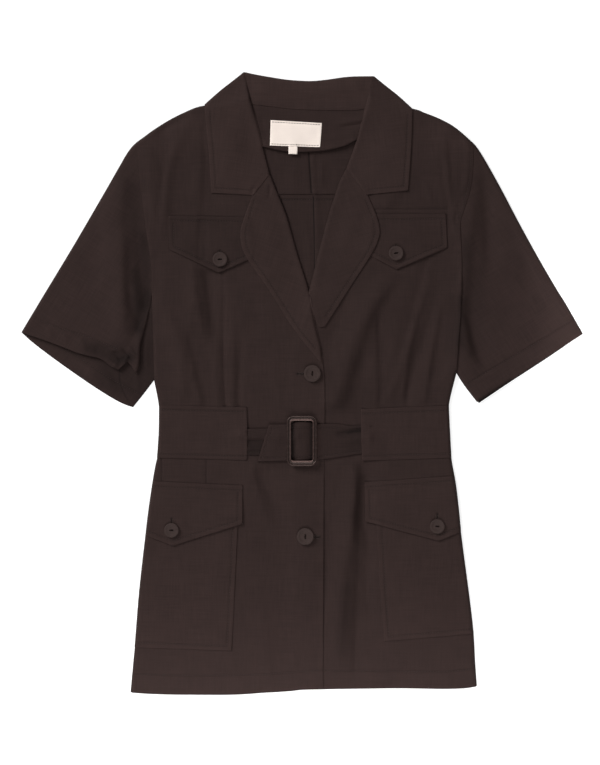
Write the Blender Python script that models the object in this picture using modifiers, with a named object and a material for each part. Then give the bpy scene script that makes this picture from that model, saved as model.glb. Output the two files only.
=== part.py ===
"""A short-sleeve belted blazer, laid out flat on its back.

Every cloth piece is a wall worked out from short tables of sections, in millimetres. The pieces lie on
each other from the floor up: the back, the fronts and sleeves, then pockets, flaps, waist panels, lapels,
collar, belt, buckle and buttons. +X is the picture's right, +Y runs from the hem to the collar, and the
origin is on the floor under the middle of the garment. Left and right are the picture's.
"""

import math
from collections import namedtuple

import bmesh
import bpy
from mathutils import Vector

MM = 0.001

# Driving sizes, in millimetres
CLOTH = 1.2  # wall of one layer of cloth
SEAM = 0.3  # space between two pieces that are sewn or laid together
LAYER = CLOTH + SEAM
FRONT_TOP = 4.0  # height of the fronts' outer face over the floor
SIDE_ROUND = 4.0  # how far in from the side the front reaches its full height
SIDE_LOW = 0.65  # where the rounded side stops over the floor, so that its inner lip clears it
BACK_INSET = 2.2  # how far the back's edge stays inside the rounded side of the front
UNDERARM_START, UNDERARM_RAMP = 4.0, 6.0  # where the back's edge passes from the armhole to the side
FOLD_EASE = 0.4  # share of its length over which a fold starts
ROLL = 2.4  # outer radius of the roll where collar and lapels turn over
ROLL_INSET = 2.9  # the front's cut edge stays this far behind its roll line
LEAF_TOP = 2 * ROLL - CLOTH  # height of a turned leaf over the front, at its roll
TURN = (FRONT_TOP + LAYER + LEAF_TOP) / 2.0  # radius of the collar's turn over the shoulder
NECK_X = 8.0  # middle of the back of the neck
CENTRE_SEAM_GAP = 0.15  # half the space along the seam down the back
YOKE_SEAM_Y = 216.5
FALL_LOW, FALL_RISE, FALL_HALF = 280.0, 30.0, 113.0  # hidden edge of the collar behind the neck
FALL_MARGIN, FALL_RAMP = 24.0, 12.0  # where the cloth over that edge starts to rise, and for how long
UNDERLAP_MARGIN, UNDERLAP_RAMP = 16.0, 10.0  # the same for the left front over the right one
UNDERLAP_X = -14.0  # edge of the right front, under the left one
SLEEVE_TOP = 4.0
SLEEVE_FOLD = 2.0  # plan radius of the sleeve's folded edges
ARMHOLE_GAP = 0.45  # space between a sleeve and the armhole it is sewn into
CAP_EASE, CAP_SHARE = 2.4, 0.1  # the sleeve head swells this far out, at this share of its length
CAP_END = 1.0 / 3.0  # share of the armhole, from the shoulder, over which the head swells
FLAP_DROP = 15.0  # a hip flap climbs onto its pocket within this length
BELT = 1.4  # wall of the belt, two layers pressed together
BELT_RISE, BELT_TUCK = 3.2, 18.0  # the waist panels' inner ends lift over the belt within this length
BUTTON_SIDES = 20
LABEL = 0.6

Section = namedtuple("Section", "name side_x side_y inner_x inner_y rim")
Fold = namedtuple("Fold", "start_x start_y end_x end_y half_width height")
Leaf = namedtuple("Leaf", "name roll_x roll_y edge_x edge_y roll edge_height")
CollarRow = namedtuple("CollarRow", "name roll_x roll_y mid_x mid_y edge_x edge_y tilt")
BeltRow = namedtuple("BeltRow", "top_x top_y low_x low_y under_z")

# Outlines, as (x, y), in the order in which they run
ARMHOLE_LEFT = ((-190.0, 276.0), (-186.3, 233.0), (-177.0, 162.0), (-172.5, 93.0), (-170.2, 3.5))
ARMHOLE_RIGHT = ((196.7, 277.0), (192.5, 227.0), (181.5, 186.0), (183.0, 93.0), (177.8, 12.0))
SHOULDER_LEFT = (
    (-189.2, 275.6),
    (-167.0, 293.0),
    (-140.0, 307.6),
    (-113.0, 314.0),
    (-96.0, 315.6),
    (-63.5, 326.0),
)
SHOULDER_RIGHT = ((77.0, 320.0), (128.0, 311.0), (153.0, 306.8), (177.0, 293.0), (195.9, 276.6))
HEM_LEFT = ((-194.4, -354.0), (-141.0, -356.4), (-58.0, -355.4), (-24.0, -353.0), (24.5, -349.6))
HEM_RIGHT = ((-14.0, -350.0), (91.0, -350.4), (161.0, -351.2), (200.0, -347.3))
CENTRE_BACK = ((-352.0, 12.0), (142.0, 15.5), (220.0, 12.0))  # (y, x)
RIGHT_INNER_EDGE = ((-352.0, UNDERLAP_X), (60.0, UNDERLAP_X), (107.0, 8.0), (150.0, 19.2), (331.0, 77.0))
SLEEVE_HEM_LEFT = (
    (-321.0, 57.5),
    (-280.0, 42.5),
    (-259.0, 34.5),
    (-235.0, 30.0),
    (-213.0, 14.0),
    (-186.0, 9.0),
)
SLEEVE_LOW_LEFT = ((-321.0, 57.5), (-193.8, -26.5))
SLEEVE_HEM_RIGHT = ((321.0, 56.5), (201.5, -21.5))

# Rows of each front, from its side or armhole to its inner edge. A rim of 1 rounds down to the floor.
FRONT_LEFT = (
    Section("shoulder", -189.2, 275.6, -63.5, 326.0, 0),
    Section("armhole", -186.3, 233.0, -57.0, 299.0, 0),
    Section("upper chest", -181.7, 198.0, -44.8, 255.0, 0),
    Section("flap top", -177.0, 162.0, -27.6, 208.0, 0),
    Section("flap point", -174.8, 128.0, -12.5, 164.0, 0),
    Section("bodice", -172.5, 93.0, 1.4, 117.0, 0),
    Section("midriff", -171.4, 50.0, 10.0, 80.0, 0),
    Section("underarm", -170.2, 6.0, 17.4, 47.0, 0),
    Section("break", -167.5, -4.0, 19.6, 30.0, 1),
    Section("upper button", -165.5, -14.0, 24.8, 20.0, 1),
    Section("waist top", -163.0, -26.0, 25.5, -12.0, 1),
    Section("waist bottom", -164.0, -88.0, 25.0, -88.0, 1),
    Section("hip", -168.5, -112.0, 25.0, -112.0, 1),
    Section("hip flap", -175.0, -175.0, 24.0, -178.0, 1),
    Section("pocket", -182.5, -238.0, 24.0, -240.0, 1),
    Section("pocket bottom", -189.5, -304.0, 24.0, -300.0, 1),
    Section("hem", -194.4, -354.0, 24.5, -349.6, 1),
)
FRONT_RIGHT = (
    Section("shoulder", 195.9, 276.6, 77.0, 320.0, 0),
    Section("armhole", 192.5, 227.0, 71.0, 297.0, 0),
    Section("upper chest", 181.5, 186.0, 57.4, 252.0, 0),
    Section("flap top", 182.0, 155.0, 34.2, 196.0, 0),
    Section("flap point", 182.5, 124.0, 21.6, 148.0, 0),
    Section("bodice", 183.0, 93.0, 14.8, 97.0, 0),
    Section("midriff", 180.5, 53.0, -8.0, 66.0, 0),
    Section("underarm", 177.8, 15.0, UNDERLAP_X, 34.0, 0),
    Section("break", 175.0, 4.0, UNDERLAP_X, 14.0, 1),
    Section("waist top", 168.0, -26.0, UNDERLAP_X, -22.0, 1),
    Section("waist bottom", 169.0, -88.0, UNDERLAP_X, -88.0, 1),
    Section("hip", 172.0, -107.0, UNDERLAP_X, -110.0, 1),
    Section("hip flap", 179.0, -171.0, UNDERLAP_X, -175.0, 1),
    Section("pocket", 187.0, -235.0, UNDERLAP_X, -238.0, 1),
    Section("pocket bottom", 193.5, -289.0, UNDERLAP_X, -292.0, 1),
    Section("hem", 200.0, -347.3, UNDERLAP_X, -350.0, 1),
)
# The largest folds of the fronts: pleats into the waist panels, and the troughs beside the closure
FOLDS_LEFT = (
    Fold(-125.0, 117.0, -120.0, -4.0, 13.0, 1.0),
    Fold(-123.0, 40.0, -116.0, -24.0, 8.0, -0.8),
    Fold(-96.0, 60.0, -91.0, -24.0, 9.0, -0.7),
)
FOLDS_RIGHT = (
    Fold(93.0, 112.0, 50.0, -30.0, 17.0, -1.0),
    Fold(86.0, 70.0, 88.0, -24.0, 9.0, -0.8),
    Fold(150.0, 124.0, 118.5, -24.0, 10.0, -0.8),
    Fold(164.0, 128.0, 145.0, 30.0, 13.0, 0.9),
    Fold(156.0, 69.0, 144.0, -22.0, 8.0, -0.6),
    Fold(60.0, -94.0, 55.0, -346.0, 15.0, -1.0),
)
# Turned-back leaves, from the notch to the break
LAPEL_LEFT = (
    Leaf("gorge", -37.7, 246.6, -56.0, 214.6, ROLL, 1.8),
    Leaf("step", -27.0, 217.0, -64.0, 197.0, ROLL, 2.4),
    Leaf("upper", -18.0, 193.0, -69.5, 182.0, ROLL, 3.2),
    Leaf("widest", -10.0, 167.0, -70.0, 163.0, ROLL, 3.2),
    Leaf("corner", -3.0, 142.0, -62.0, 142.0, ROLL, 3.2),
    Leaf("middle", 6.5, 112.0, -42.0, 112.5, ROLL, 2.0),
    Leaf("lower", 13.0, 82.0, -22.0, 81.5, ROLL, 2.0),
    Leaf("narrow", 19.0, 55.0, -4.0, 53.0, ROLL, 2.4),
    Leaf("break", 22.5, 38.0, 10.0, 38.0, ROLL, 2.8),
    Leaf("tip", 23.8, 28.0, 17.5, 28.0, ROLL, 3.2),
)
LAPEL_RIGHT = (
    Leaf("gorge", 50.8, 246.0, 75.0, 214.6, ROLL, 1.8),
    Leaf("step", 40.0, 222.0, 82.0, 201.0, ROLL, 2.4),
    Leaf("upper", 30.5, 193.7, 88.0, 183.0, ROLL, 3.2),
    Leaf("widest", 24.0, 168.0, 88.5, 165.0, ROLL, 3.2),
    Leaf("corner", 16.5, 140.0, 79.0, 146.0, ROLL, 3.2),
    Leaf("middle", 9.8, 114.0, 58.0, 113.0, ROLL, 2.0),
    Leaf("under left", 12.4, 95.0, 44.0, 92.0, 1.3, 2.2),
    Leaf("lower", 16.2, 75.0, 31.5, 72.0, 1.3, 2.4),
    Leaf("tip", 19.8, 58.0, 24.0, 57.0, 1.3, 3.0),
)
# The collar from notch to notch. It lies on the fronts (tilt 90), turns over the shoulders (0) and passes
# under the back (-90). Its roll and outer edge are given; the middle is the notch at each end.
COLLAR = (
    CollarRow("notch left", -39.0, 247.6, -56.0, 216.0, -104.0, 217.9, 90),
    CollarRow("neck left", -51.5, 293.0, -74.0, 281.0, -107.6, 262.0, 90),
    CollarRow("shoulder left", -63.0, 343.0, -82.0, 330.0, -110.0, 309.5, 90),
    CollarRow("turn left", -67.0, 356.5, -85.0, 341.7, -112.0, 319.8, 0),
    CollarRow("behind left", -57.0, 354.6, -76.0, 338.0, -104.5, 311.5, -90),
    CollarRow("back left", -25.0, 349.0, -30.0, 323.0, -38.0, 285.0, -90),
    CollarRow("back", 8.0, 347.0, 8.0, 321.0, 8.0, 281.0, -90),
    CollarRow("back right", 43.0, 349.4, 48.0, 324.0, 56.0, 285.5, -90),
    CollarRow("behind right", 73.0, 352.0, 92.0, 335.0, 120.5, 310.0, -90),
    CollarRow("turn right", 82.6, 352.4, 101.0, 338.0, 128.4, 316.4, 0),
    CollarRow("shoulder right", 79.0, 341.0, 98.0, 328.0, 126.5, 306.5, 90),
    CollarRow("neck right", 66.0, 293.0, 89.0, 281.5, 124.6, 264.0, 90),
    CollarRow("notch right", 51.8, 247.0, 75.0, 216.0, 121.9, 220.4, 90),
)
NOTCH_SHARE = 0.4
# The belt, from where it comes out of one waist panel to its end, with the height of its underside
BELT_OVER = (
    BeltRow(79.0, -49.0, 79.0, -80.0, 4.3),
    BeltRow(62.0, -48.4, 62.0, -81.6, 4.4),
    BeltRow(42.0, -47.8, 42.0, -84.0, 4.9),
    BeltRow(30.0, -47.5, 30.0, -85.6, 6.2),
    BeltRow(19.0, -46.8, 19.0, -87.2, 7.5),
    BeltRow(11.6, -46.4, 11.6, -87.8, 7.5),
    BeltRow(3.2, -46.0, 3.2, -88.2, 12.4),
    BeltRow(-2.6, -46.0, -2.6, -88.6, 12.4),
    BeltRow(-11.0, -46.2, -11.0, -88.8, 7.5),
    BeltRow(-20.0, -46.4, -20.0, -89.2, 7.5),
    BeltRow(-30.0, -47.0, -36.0, -89.6, 7.3),
    BeltRow(-38.0, -47.6, -51.3, -90.2, 6.2),
)
BELT_UNDER = (
    BeltRow(-76.0, -57.0, -76.0, -84.0, 4.3),
    BeltRow(-60.0, -55.0, -60.0, -85.0, 4.3),
    BeltRow(-32.0, -52.0, -32.0, -86.0, 4.3),
    BeltRow(-16.0, -50.0, -16.0, -86.0, 5.8),
    BeltRow(-10.0, -49.0, -10.0, -86.0, 5.8),
    BeltRow(-4.0, -48.5, -4.0, -86.0, 7.2),
    BeltRow(1.6, -48.5, 1.6, -86.0, 7.3),
)
BUCKLE_X, BUCKLE_Y = 0.3, -66.4
BUCKLE_LOW, BUCKLE_DEPTH, BUCKLE_BEVEL = 9.2, 2.8, 0.5
BUCKLE_OUTER, BUCKLE_CORNER = (33.8, 57.7), 6.0
WINDOW_OUTER, WINDOW_CORNER, BAR = (24.6, 44.8), 2.5, 4.0

# Colours are linear red, green and blue, with roughness and metallic value
FINISHES = {
    "cloth": ((0.036, 0.024, 0.022), 0.82, 0.0),
    "button": ((0.045, 0.030, 0.026), 0.45, 0.0),
    "buckle": ((0.020, 0.015, 0.014), 0.25, 0.0),
    "label": ((0.82, 0.72, 0.64), 0.75, 0.0),
}


def mix(first, second, share):
    """A number or a point between two others."""
    if isinstance(first, tuple):
        return tuple(mix(a, b, share) for a, b in zip(first, second))
    return first + (second - first) * share


def smooth(share):
    """0 below 0, 1 above 1, and an easy curve between."""
    share = min(1.0, max(0.0, share))
    return share * share * (3.0 - 2.0 * share)


def spaced(count):
    """Shares from 0 to 1 in this many equal steps."""
    return [step / count for step in range(count + 1)]


def height_on(chain, x):
    """The second value of a chain of pairs at x, on straight lines between them."""
    if x <= chain[0][0]:
        return chain[0][1]
    for (x0, y0), (x1, y1) in zip(chain, chain[1:]):
        if x <= x1:
            return mix(y0, y1, (x - x0) / (x1 - x0))
    return chain[-1][1]


def shares_on(chain):
    """How far along a chain each of its points lies, from 0 to 1."""
    lengths = [0.0]
    for first, second in zip(chain, chain[1:]):
        lengths.append(lengths[-1] + math.dist(first, second))
    return [length / lengths[-1] for length in lengths]


def point_on(chain, share):
    """The point at this share of a chain's length."""
    shares = shares_on(chain)
    for index in range(len(chain) - 1):
        if share <= shares[index + 1] or index == len(chain) - 2:
            step = (share - shares[index]) / (shares[index + 1] - shares[index])
            return mix(chain[index], chain[index + 1], step)


def row_between(rows, place):
    """The two rows on each side of a place along a table, and the share between them."""
    index = min(int(place), len(rows) - 2)
    return rows[index], rows[index + 1], place - index


# How high the laid-out cloth lies

def fall_edge(x):
    """y of the collar's hidden outer edge, under the back."""
    return FALL_LOW + FALL_RISE * ((x - NECK_X) / FALL_HALF) ** 2


def collar_lift(x, y):
    """How far the collar behind the neck lifts the cloth on it."""
    return LAYER * smooth((y - fall_edge(x) + FALL_MARGIN) / FALL_RAMP)


def underlap_lift(x, y):
    """How far the right front lifts the left one, which laps over it."""
    return LAYER * smooth((x - height_on(RIGHT_INNER_EDGE, y) + UNDERLAP_MARGIN) / UNDERLAP_RAMP)


def fold_height(folds, x, y):
    """Ridges and troughs, round across and fading out at both ends."""
    total = 0.0
    for fold in folds:
        run_x = fold.end_x - fold.start_x
        run_y = fold.end_y - fold.start_y
        length = math.hypot(run_x, run_y)
        along = ((x - fold.start_x) * run_x + (y - fold.start_y) * run_y) / length
        across = ((x - fold.start_x) * run_y - (y - fold.start_y) * run_x) / length
        if abs(across) < fold.half_width and 0.0 < along < length:
            ends = smooth(along / (FOLD_EASE * length)) * smooth((length - along) / fold.half_width)
            total += fold.height * ends * 0.5 * (1.0 + math.cos(math.pi * across / fold.half_width))
    return total


def yoke_top(x, y):
    return CLOTH + collar_lift(x, y)


def left_top(x, y):
    return FRONT_TOP + collar_lift(x, y) + underlap_lift(x, y) + fold_height(FOLDS_LEFT, x, y)


def right_top(x, y):
    return FRONT_TOP + collar_lift(x, y) + fold_height(FOLDS_RIGHT, x, y)


# Meshes

def material(name):
    """A Principled finish, made once and shared by the pieces that have it."""
    found = bpy.data.materials.get(name)
    if found:
        return found
    colour, roughness, metallic = FINISHES[name]
    made = bpy.data.materials.new(name)
    made.use_nodes = True
    shader = made.node_tree.nodes["Principled BSDF"]
    shader.inputs["Base Color"].default_value = (*colour, 1.0)
    shader.inputs["Roughness"].default_value = roughness
    shader.inputs["Metallic"].default_value = metallic
    return made


def add_piece(name, data, finish):
    """A named object with its finish, in the blazer's collection and under its empty."""
    piece = bpy.data.objects.new(name, data)
    data.materials.append(material(finish))
    COLLECTION.objects.link(piece)
    piece.parent = ROOT
    return piece


def cloth(name, columns, rows, place, wall=CLOTH, finish="cloth", tube=False, turn=None):
    """A wall of cloth. place(column, row) is a point of its outer face, and the wall lies behind that."""
    bm = bmesh.new()
    bmesh.ops.create_grid(bm, x_segments=len(columns) - 1, y_segments=len(rows) - 1, size=1.0)
    for vertex in bm.verts:
        column = columns[round((vertex.co.x + 1.0) / 2.0 * (len(columns) - 1))]
        row = rows[round((vertex.co.y + 1.0) / 2.0 * (len(rows) - 1))]
        vertex.co = Vector(place(column, row)) * MM
    if tube:
        bmesh.ops.remove_doubles(bm, verts=bm.verts, dist=0.001 * MM)
    bm.normal_update()
    if turn is None:
        turn = sum(face.normal.z * face.calc_area() for face in bm.faces) < 0.0
    if turn:
        bmesh.ops.reverse_faces(bm, faces=bm.faces)
    mesh = bpy.data.meshes.new(name)
    bm.to_mesh(mesh)
    bm.free()
    mesh.shade_smooth()
    piece = add_piece(name, mesh, finish)
    solidify = piece.modifiers.new("wall", "SOLIDIFY")
    solidify.thickness = wall * MM
    solidify.offset = -1.0
    solidify.use_even_offset = True
    solidify.use_quality_normals = True
    return piece


# The fronts and what lies on them

RIM_COLUMNS = (-1.0, -0.5)  # columns on the rounded side, before those on the flat
OUT = {"left": -1.0, "right": 1.0}  # which way the side lies


class Front:
    """One front: its rows, its outer face, and that face moved out for what is sewn on it."""

    def __init__(self, side, rows, shoulder, hem, top):
        self.out = OUT[side]
        self.rows = rows
        self.shoulder = shoulder
        self.hem = hem
        self.top = top

    def side_at(self, y):
        """x of the side below the underarm, at this height."""
        sides = [(row.side_y, row.side_x) for row in reversed(self.rows)]
        return height_on(sides, y)

    def rounded(self, side_x, column, rim, offset):
        """x and height share of a point on the rounded side; column -1 is at the floor, 0 at the top."""
        angle = (column + 1.0) * math.pi / 2.0
        flat = SIDE_ROUND * (column + 1.0)
        curved = SIDE_ROUND - (SIDE_ROUND + offset) * math.cos(angle)
        return side_x - self.out * mix(flat, curved, rim), mix(1.0, math.sin(angle), rim)

    def on_row(self, row, column):
        """x, y and height share of a point of one row."""
        if column <= 0.0:
            x, height = self.rounded(row.side_x, column, row.rim, 0.0)
            y = row.side_y
        else:
            x = mix(row.side_x - self.out * SIDE_ROUND, row.inner_x, column)
            y = mix(row.side_y, row.inner_y, column)
            height = 1.0
        if row.name == "shoulder":
            y = height_on(self.shoulder, x)
        if row.name == "hem":
            y = height_on(self.hem, x)
        return x, y, height

    def place(self, column, along):
        """A point of the front's outer face. Rows below 0 round the shoulder down towards the back."""
        first, second, share = row_between(self.rows, max(along, 0.0))
        x, y, height = mix(self.on_row(first, column), self.on_row(second, column), share)
        if along < 0.0:
            angle = (along + 1.0) * math.pi / 2.0
            low = collar_lift(x, y)
            full = self.top(x, y)
            y -= SIDE_ROUND * (1.0 - math.cos(angle))
            return x, y, mix(low + SIDE_LOW, full, math.sin(angle))
        if along == 0.0:
            y -= SIDE_ROUND
        return x, y, mix(SIDE_LOW, self.top(x, y), height)

    def on_panel(self, column, x_inner, y, offset):
        """A point moved out from the front's face: columns up to 0 are on its side, 1 is at x_inner."""
        side_x = self.side_at(y)
        if column <= 0.0:
            x, height = self.rounded(side_x, column, 1.0, offset)
            return x, y, mix(SIDE_LOW, FRONT_TOP + offset, height)
        x = mix(side_x - self.out * SIDE_ROUND, x_inner, column)
        return x, y, self.top(x, y) + offset


LEFT = Front("left", FRONT_LEFT, SHOULDER_LEFT, HEM_LEFT, left_top)
RIGHT = Front("right", FRONT_RIGHT, SHOULDER_RIGHT, HEM_RIGHT, right_top)


def build_fronts():
    """Both fronts, with extra rows through the pleats of the bodice."""
    columns = [*RIM_COLUMNS, *spaced(13)]
    shoulder_rows = [-1.0, -0.5, 0.0]
    for name, front in (("front_left", LEFT), ("front_right", RIGHT)):
        rows = [*shoulder_rows, *(row / 2.0 for row in range(1, 2 * len(front.rows) - 1))]
        skipped = {0.5, 1.5, 2.5, len(front.rows) - 1.5, len(front.rows) - 3.5, len(front.rows) - 4.5}
        cloth(name, columns, [row for row in rows if row not in skipped], front.place)


def build_back():
    """The back below its yoke, in two halves with a seam down the middle."""
    table = (
        ("back_left", LEFT, ARMHOLE_LEFT),
        ("back_right", RIGHT, ARMHOLE_RIGHT),
    )
    for name, front, armhole in table:
        hem_y = front.rows[-1].side_y + SEAM
        seam_y = YOKE_SEAM_Y - SEAM
        heights = [seam_y]
        heights += [row.side_y for row in front.rows[:-1] if row.side_y < seam_y]
        heights += [hem_y]

        def place(column, y, front=front, armhole=armhole, hem_y=hem_y):
            under_arm = smooth((armhole[-1][1] + UNDERARM_START - y) / UNDERARM_RAMP)
            armhole_x = height_on([(corner_y, corner_x) for corner_x, corner_y in reversed(armhole)], y)
            side_x = front.side_at(y)
            side = mix(armhole_x - front.out * SEAM, side_x - front.out * BACK_INSET, under_arm)
            centre = height_on(CENTRE_BACK, y) + front.out * CENTRE_SEAM_GAP
            x = mix(side, centre, column)
            if y == hem_y:
                y = height_on(front.hem, x) + SEAM
            return x, y, CLOTH

        cloth(name, spaced(4), heights, place)


YOKE_COLUMNS = (  # (bottom x, top x, top y)
    (-183.4, -188.6, 273.0),
    (-160.0, -166.0, 291.0),
    (-135.0, -140.0, 305.0),
    (-108.0, -112.0, 310.4),
    (-85.0, -88.0, 314.6),
    (-60.0, -62.0, 322.0),
    (-40.0, -42.0, 318.5),
    (-15.0, -17.0, 315.5),
    (8.0, 8.0, 314.5),
    (32.0, 34.0, 315.0),
    (52.0, 54.0, 316.5),
    (72.0, 75.0, 317.0),
    (98.0, 102.0, 312.6),
    (122.0, 128.0, 309.2),
    (145.0, 153.0, 304.2),
    (168.0, 177.0, 290.0),
    (188.0, 195.2, 274.6),
)


def build_yoke():
    """The yoke across the shoulders, lifted at the neck by the collar that lies under it."""

    def place(column, share):
        bottom_x, top_x, top_y = YOKE_COLUMNS[column]
        x = mix(bottom_x, top_x, share)
        y = mix(YOKE_SEAM_Y, top_y, share)
        return x, y, yoke_top(x, y)

    cloth("back_yoke", range(len(YOKE_COLUMNS)), spaced(8), place)


def build_sleeves():
    """Flattened tubes from armhole to hem. The left one's front hem lies higher than its back hem."""
    table = (
        ("sleeve_left", -1.0, ARMHOLE_LEFT, SLEEVE_HEM_LEFT, SLEEVE_LOW_LEFT),
        ("sleeve_right", 1.0, ARMHOLE_RIGHT, SLEEVE_HEM_RIGHT, SLEEVE_HEM_RIGHT),
    )
    for name, out, armhole, hem_over, hem_under in table:
        corners = shares_on(armhole)
        shares = sorted({*corners, *(mix(a, b, 0.5) for a, b in zip(corners, corners[1:]))})
        ring = [(share, 90) for share in shares]
        ring += [(1.0, angle) for angle in (45, 0, -45)]
        ring += [(share, -90) for share in reversed(shares)]
        ring += [(0.0, angle) for angle in (-45, 0, 45, 90)]

        def place(corner, along, out=out, armhole=armhole, hems=(hem_over, hem_under)):
            share, angle = corner
            rise = math.sin(math.radians(angle))
            reach = math.cos(math.radians(angle))
            hem = point_on(hems[0] if angle == 90 else hems[1], share)
            start = point_on(armhole, share)
            start = (start[0] + out * ARMHOLE_GAP, start[1])
            x, y = mix(start, hem, along)
            ease = along / CAP_SHARE if along < CAP_SHARE else (1.0 - along) / (1.0 - CAP_SHARE)
            x += out * CAP_EASE * ease * max(0.0, 1.0 - share / CAP_END)
            upper = mix(armhole[0], hems[0][0], along)
            lower = mix(armhole[-1], hems[1][-1], along)
            run = math.dist(upper, lower)
            inset = SLEEVE_FOLD * (1.0 - reach) * (1.0 if share == 0.0 else -1.0 if share == 1.0 else 0.0)
            x += (lower[0] - upper[0]) / run * inset
            y += (lower[1] - upper[1]) / run * inset
            return x, y, SLEEVE_TOP / 2.0 * (1.0 + rise)

        lengths = [0.0, CAP_SHARE, 0.3, 0.5, 0.7, 0.86, 1.0]
        cloth(name, ring, lengths, place, tube=True, turn=out < 0.0)


# Lapels and collar

ROLL_COLUMNS = (-1.0, -0.75, -0.5, -0.25)  # columns round the roll, before those on the leaf


def roll_angle(column):
    """Angle round the roll: its inner leg at column -1, and the start of the leaf at column 0."""
    return math.pi * (column + 0.5)


def build_lapels():
    """The fronts' turned-back edges. Each rolls over its front's cut edge and lies on the front."""
    table = (
        ("lapel_left", LAPEL_LEFT, 1.0, left_top),
        ("lapel_right", LAPEL_RIGHT, -1.0, right_top),
    )
    for name, leaves, inward, top in table:

        def at_row(leaf, column, inward=inward, top=top):
            roll_top = top(leaf.roll_x - inward * ROLL_INSET, leaf.roll_y) + LEAF_TOP
            centre_x = leaf.roll_x - inward * leaf.roll
            centre_z = roll_top - leaf.roll
            if column < 0.0:
                angle = roll_angle(column)
                x = centre_x + inward * leaf.roll * math.cos(angle)
                return x, leaf.roll_y, centre_z + leaf.roll * math.sin(angle)
            x = mix(centre_x, leaf.edge_x, column)
            y = mix(leaf.roll_y, leaf.edge_y, column)
            return x, y, mix(roll_top, top(x, y) + leaf.edge_height, smooth(column))

        def place(column, index, leaves=leaves, at_row=at_row):
            first, second, share = row_between(leaves, index)
            return mix(at_row(first, column), at_row(second, column), share)

        cloth(name, [*ROLL_COLUMNS, *spaced(6)], range(len(leaves)), place)


def build_collar():
    """One collar piece from notch to notch, rolled at the neck and turned over both shoulders."""

    rows = []
    for row in COLLAR:
        turns = (0,) if row.tilt else (45, 0, -45) if row.roll_x < NECK_X else (-45, 0, 45)
        rows += [row._replace(tilt=row.tilt + turn) for turn in turns]

    def place(column, index):
        row = rows[index]
        top = left_top if row.roll_x < NECK_X else right_top
        run = math.dist((row.edge_x, row.edge_y), (row.roll_x, row.roll_y))
        toward_roll = Vector(((row.roll_x - row.edge_x) / run, (row.roll_y - row.edge_y) / run, 0.0))
        side = 1.0 if row.roll_x < NECK_X else -1.0
        outward = Vector((-toward_roll.y * side, toward_roll.x * side, 0.0))
        tilt = math.radians(row.tilt)
        normal = outward * math.cos(tilt) + Vector((0.0, 0.0, math.sin(tilt)))
        centre_z = TURN + (TURN - ROLL) * math.sin(tilt)
        shift = outward * (ROLL * math.cos(tilt) + TURN * (1.0 - math.cos(tilt)))
        if abs(row.tilt) == 90:
            shift = Vector((0.0, 0.0, 0.0))
        if row.tilt == 90:
            centre_z = top(row.roll_x, row.roll_y) + LEAF_TOP - ROLL
        centre = Vector((row.roll_x, row.roll_y, centre_z)) - shift - toward_roll * ROLL
        if column < 0.0:
            angle = roll_angle(column)
            return centre + ROLL * (toward_roll * math.cos(angle) + normal * math.sin(angle))
        middle = Vector((row.mid_x, row.mid_y, centre_z)) - shift
        edge = Vector((row.edge_x, row.edge_y, centre_z)) - shift
        if column <= NOTCH_SHARE:
            point = centre.lerp(middle, column / NOTCH_SHARE)
        else:
            point = middle.lerp(edge, (column - NOTCH_SHARE) / (1.0 - NOTCH_SHARE))
        point += normal * ROLL
        if row.tilt == 90:
            point.z = mix(point.z, top(point.x, point.y) + LAYER + SEAM, smooth(column))
        return point

    columns = [*ROLL_COLUMNS, 0.0, 0.2, NOTCH_SHARE, 0.6, 0.8, 1.0]
    cloth("collar_fall", columns, range(len(rows)), place, turn=True)


NECK_BAND = (  # (facing low x, low y, neck seam x, seam y, stand top x, top y)
    (-42.0, 266.8, -55.6, 319.0, -61.6, 346.0),
    (-24.0, 265.6, -30.0, 316.6, -33.0, 346.4),
    (8.0, 264.6, 8.0, 315.4, 8.0, 344.0),
    (36.0, 268.0, 42.0, 315.4, 44.0, 345.6),
    (60.0, 276.4, 71.0, 316.0, 77.0, 344.0),
)


def build_neck():
    """Inside the back of the neck: the facing on the yoke, and the collar's stand above it."""
    bands = range(len(NECK_BAND))

    def facing(column, share):
        low_x, low_y, seam_x, seam_y, _, _ = NECK_BAND[column]
        x, y = mix((seam_x, seam_y), (low_x, low_y), share)
        return x, y, yoke_top(x, y) + LAYER

    def stand(column, share):
        _, _, seam_x, seam_y, top_x, top_y = NECK_BAND[column]
        x, y = mix((top_x, top_y - SEAM), (seam_x, seam_y + SEAM), share)
        return x, y, mix(2.0 * ROLL, CLOTH + 2.0 * LAYER, share)

    cloth("back_neck_facing", bands, spaced(6), facing)
    cloth("collar_stand", bands, spaced(2), stand)


# Pockets, flaps, waist panels

CHEST_FLAPS = {  # rows from the side to under the lapel: (x, top y, low y)
    "left": (
        (-153.2, 192.0, 153.3),
        (-124.0, 191.4, 139.5),
        (-95.5, 191.0, 126.2),
        (-74.0, 190.6, 135.7),
        (-55.0, 190.3, 144.2),
    ),
    "right": (
        (166.3, 194.6, 155.3),
        (137.0, 194.4, 142.4),
        (108.6, 194.2, 130.0),
        (90.0, 194.0, 139.8),
        (75.0, 193.9, 147.6),
    ),
}
HIP_FLAPS = {  # inner x, inner top y, inner low y, point x, point y, side top y, side low y
    "left": (-68.0, -117.3, -161.7, -148.0, -187.0, -112.7, -175.4),
    "right": (72.0, -113.9, -159.0, 156.3, -181.2, -106.5, -170.8),
}
HIP_POCKETS = {  # top y, inner top x, inner low x, inner low y, side low y
    "left": (-130.0, -71.5, -80.5, -307.5, -303.6),
    "right": (-126.0, 84.0, 94.3, -296.7, -288.0),
}
WAIST_PANELS = {  # inner x, inner top y, inner low y, side top y, side low y
    "left": (-63.0, -27.6, -88.8, -25.5, -86.0),
    "right": (68.0, -29.9, -89.6, -26.0, -85.8),
}
PANEL_RIM = (-0.9, -0.45)  # what is sewn over the side stops just above the floor


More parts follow.
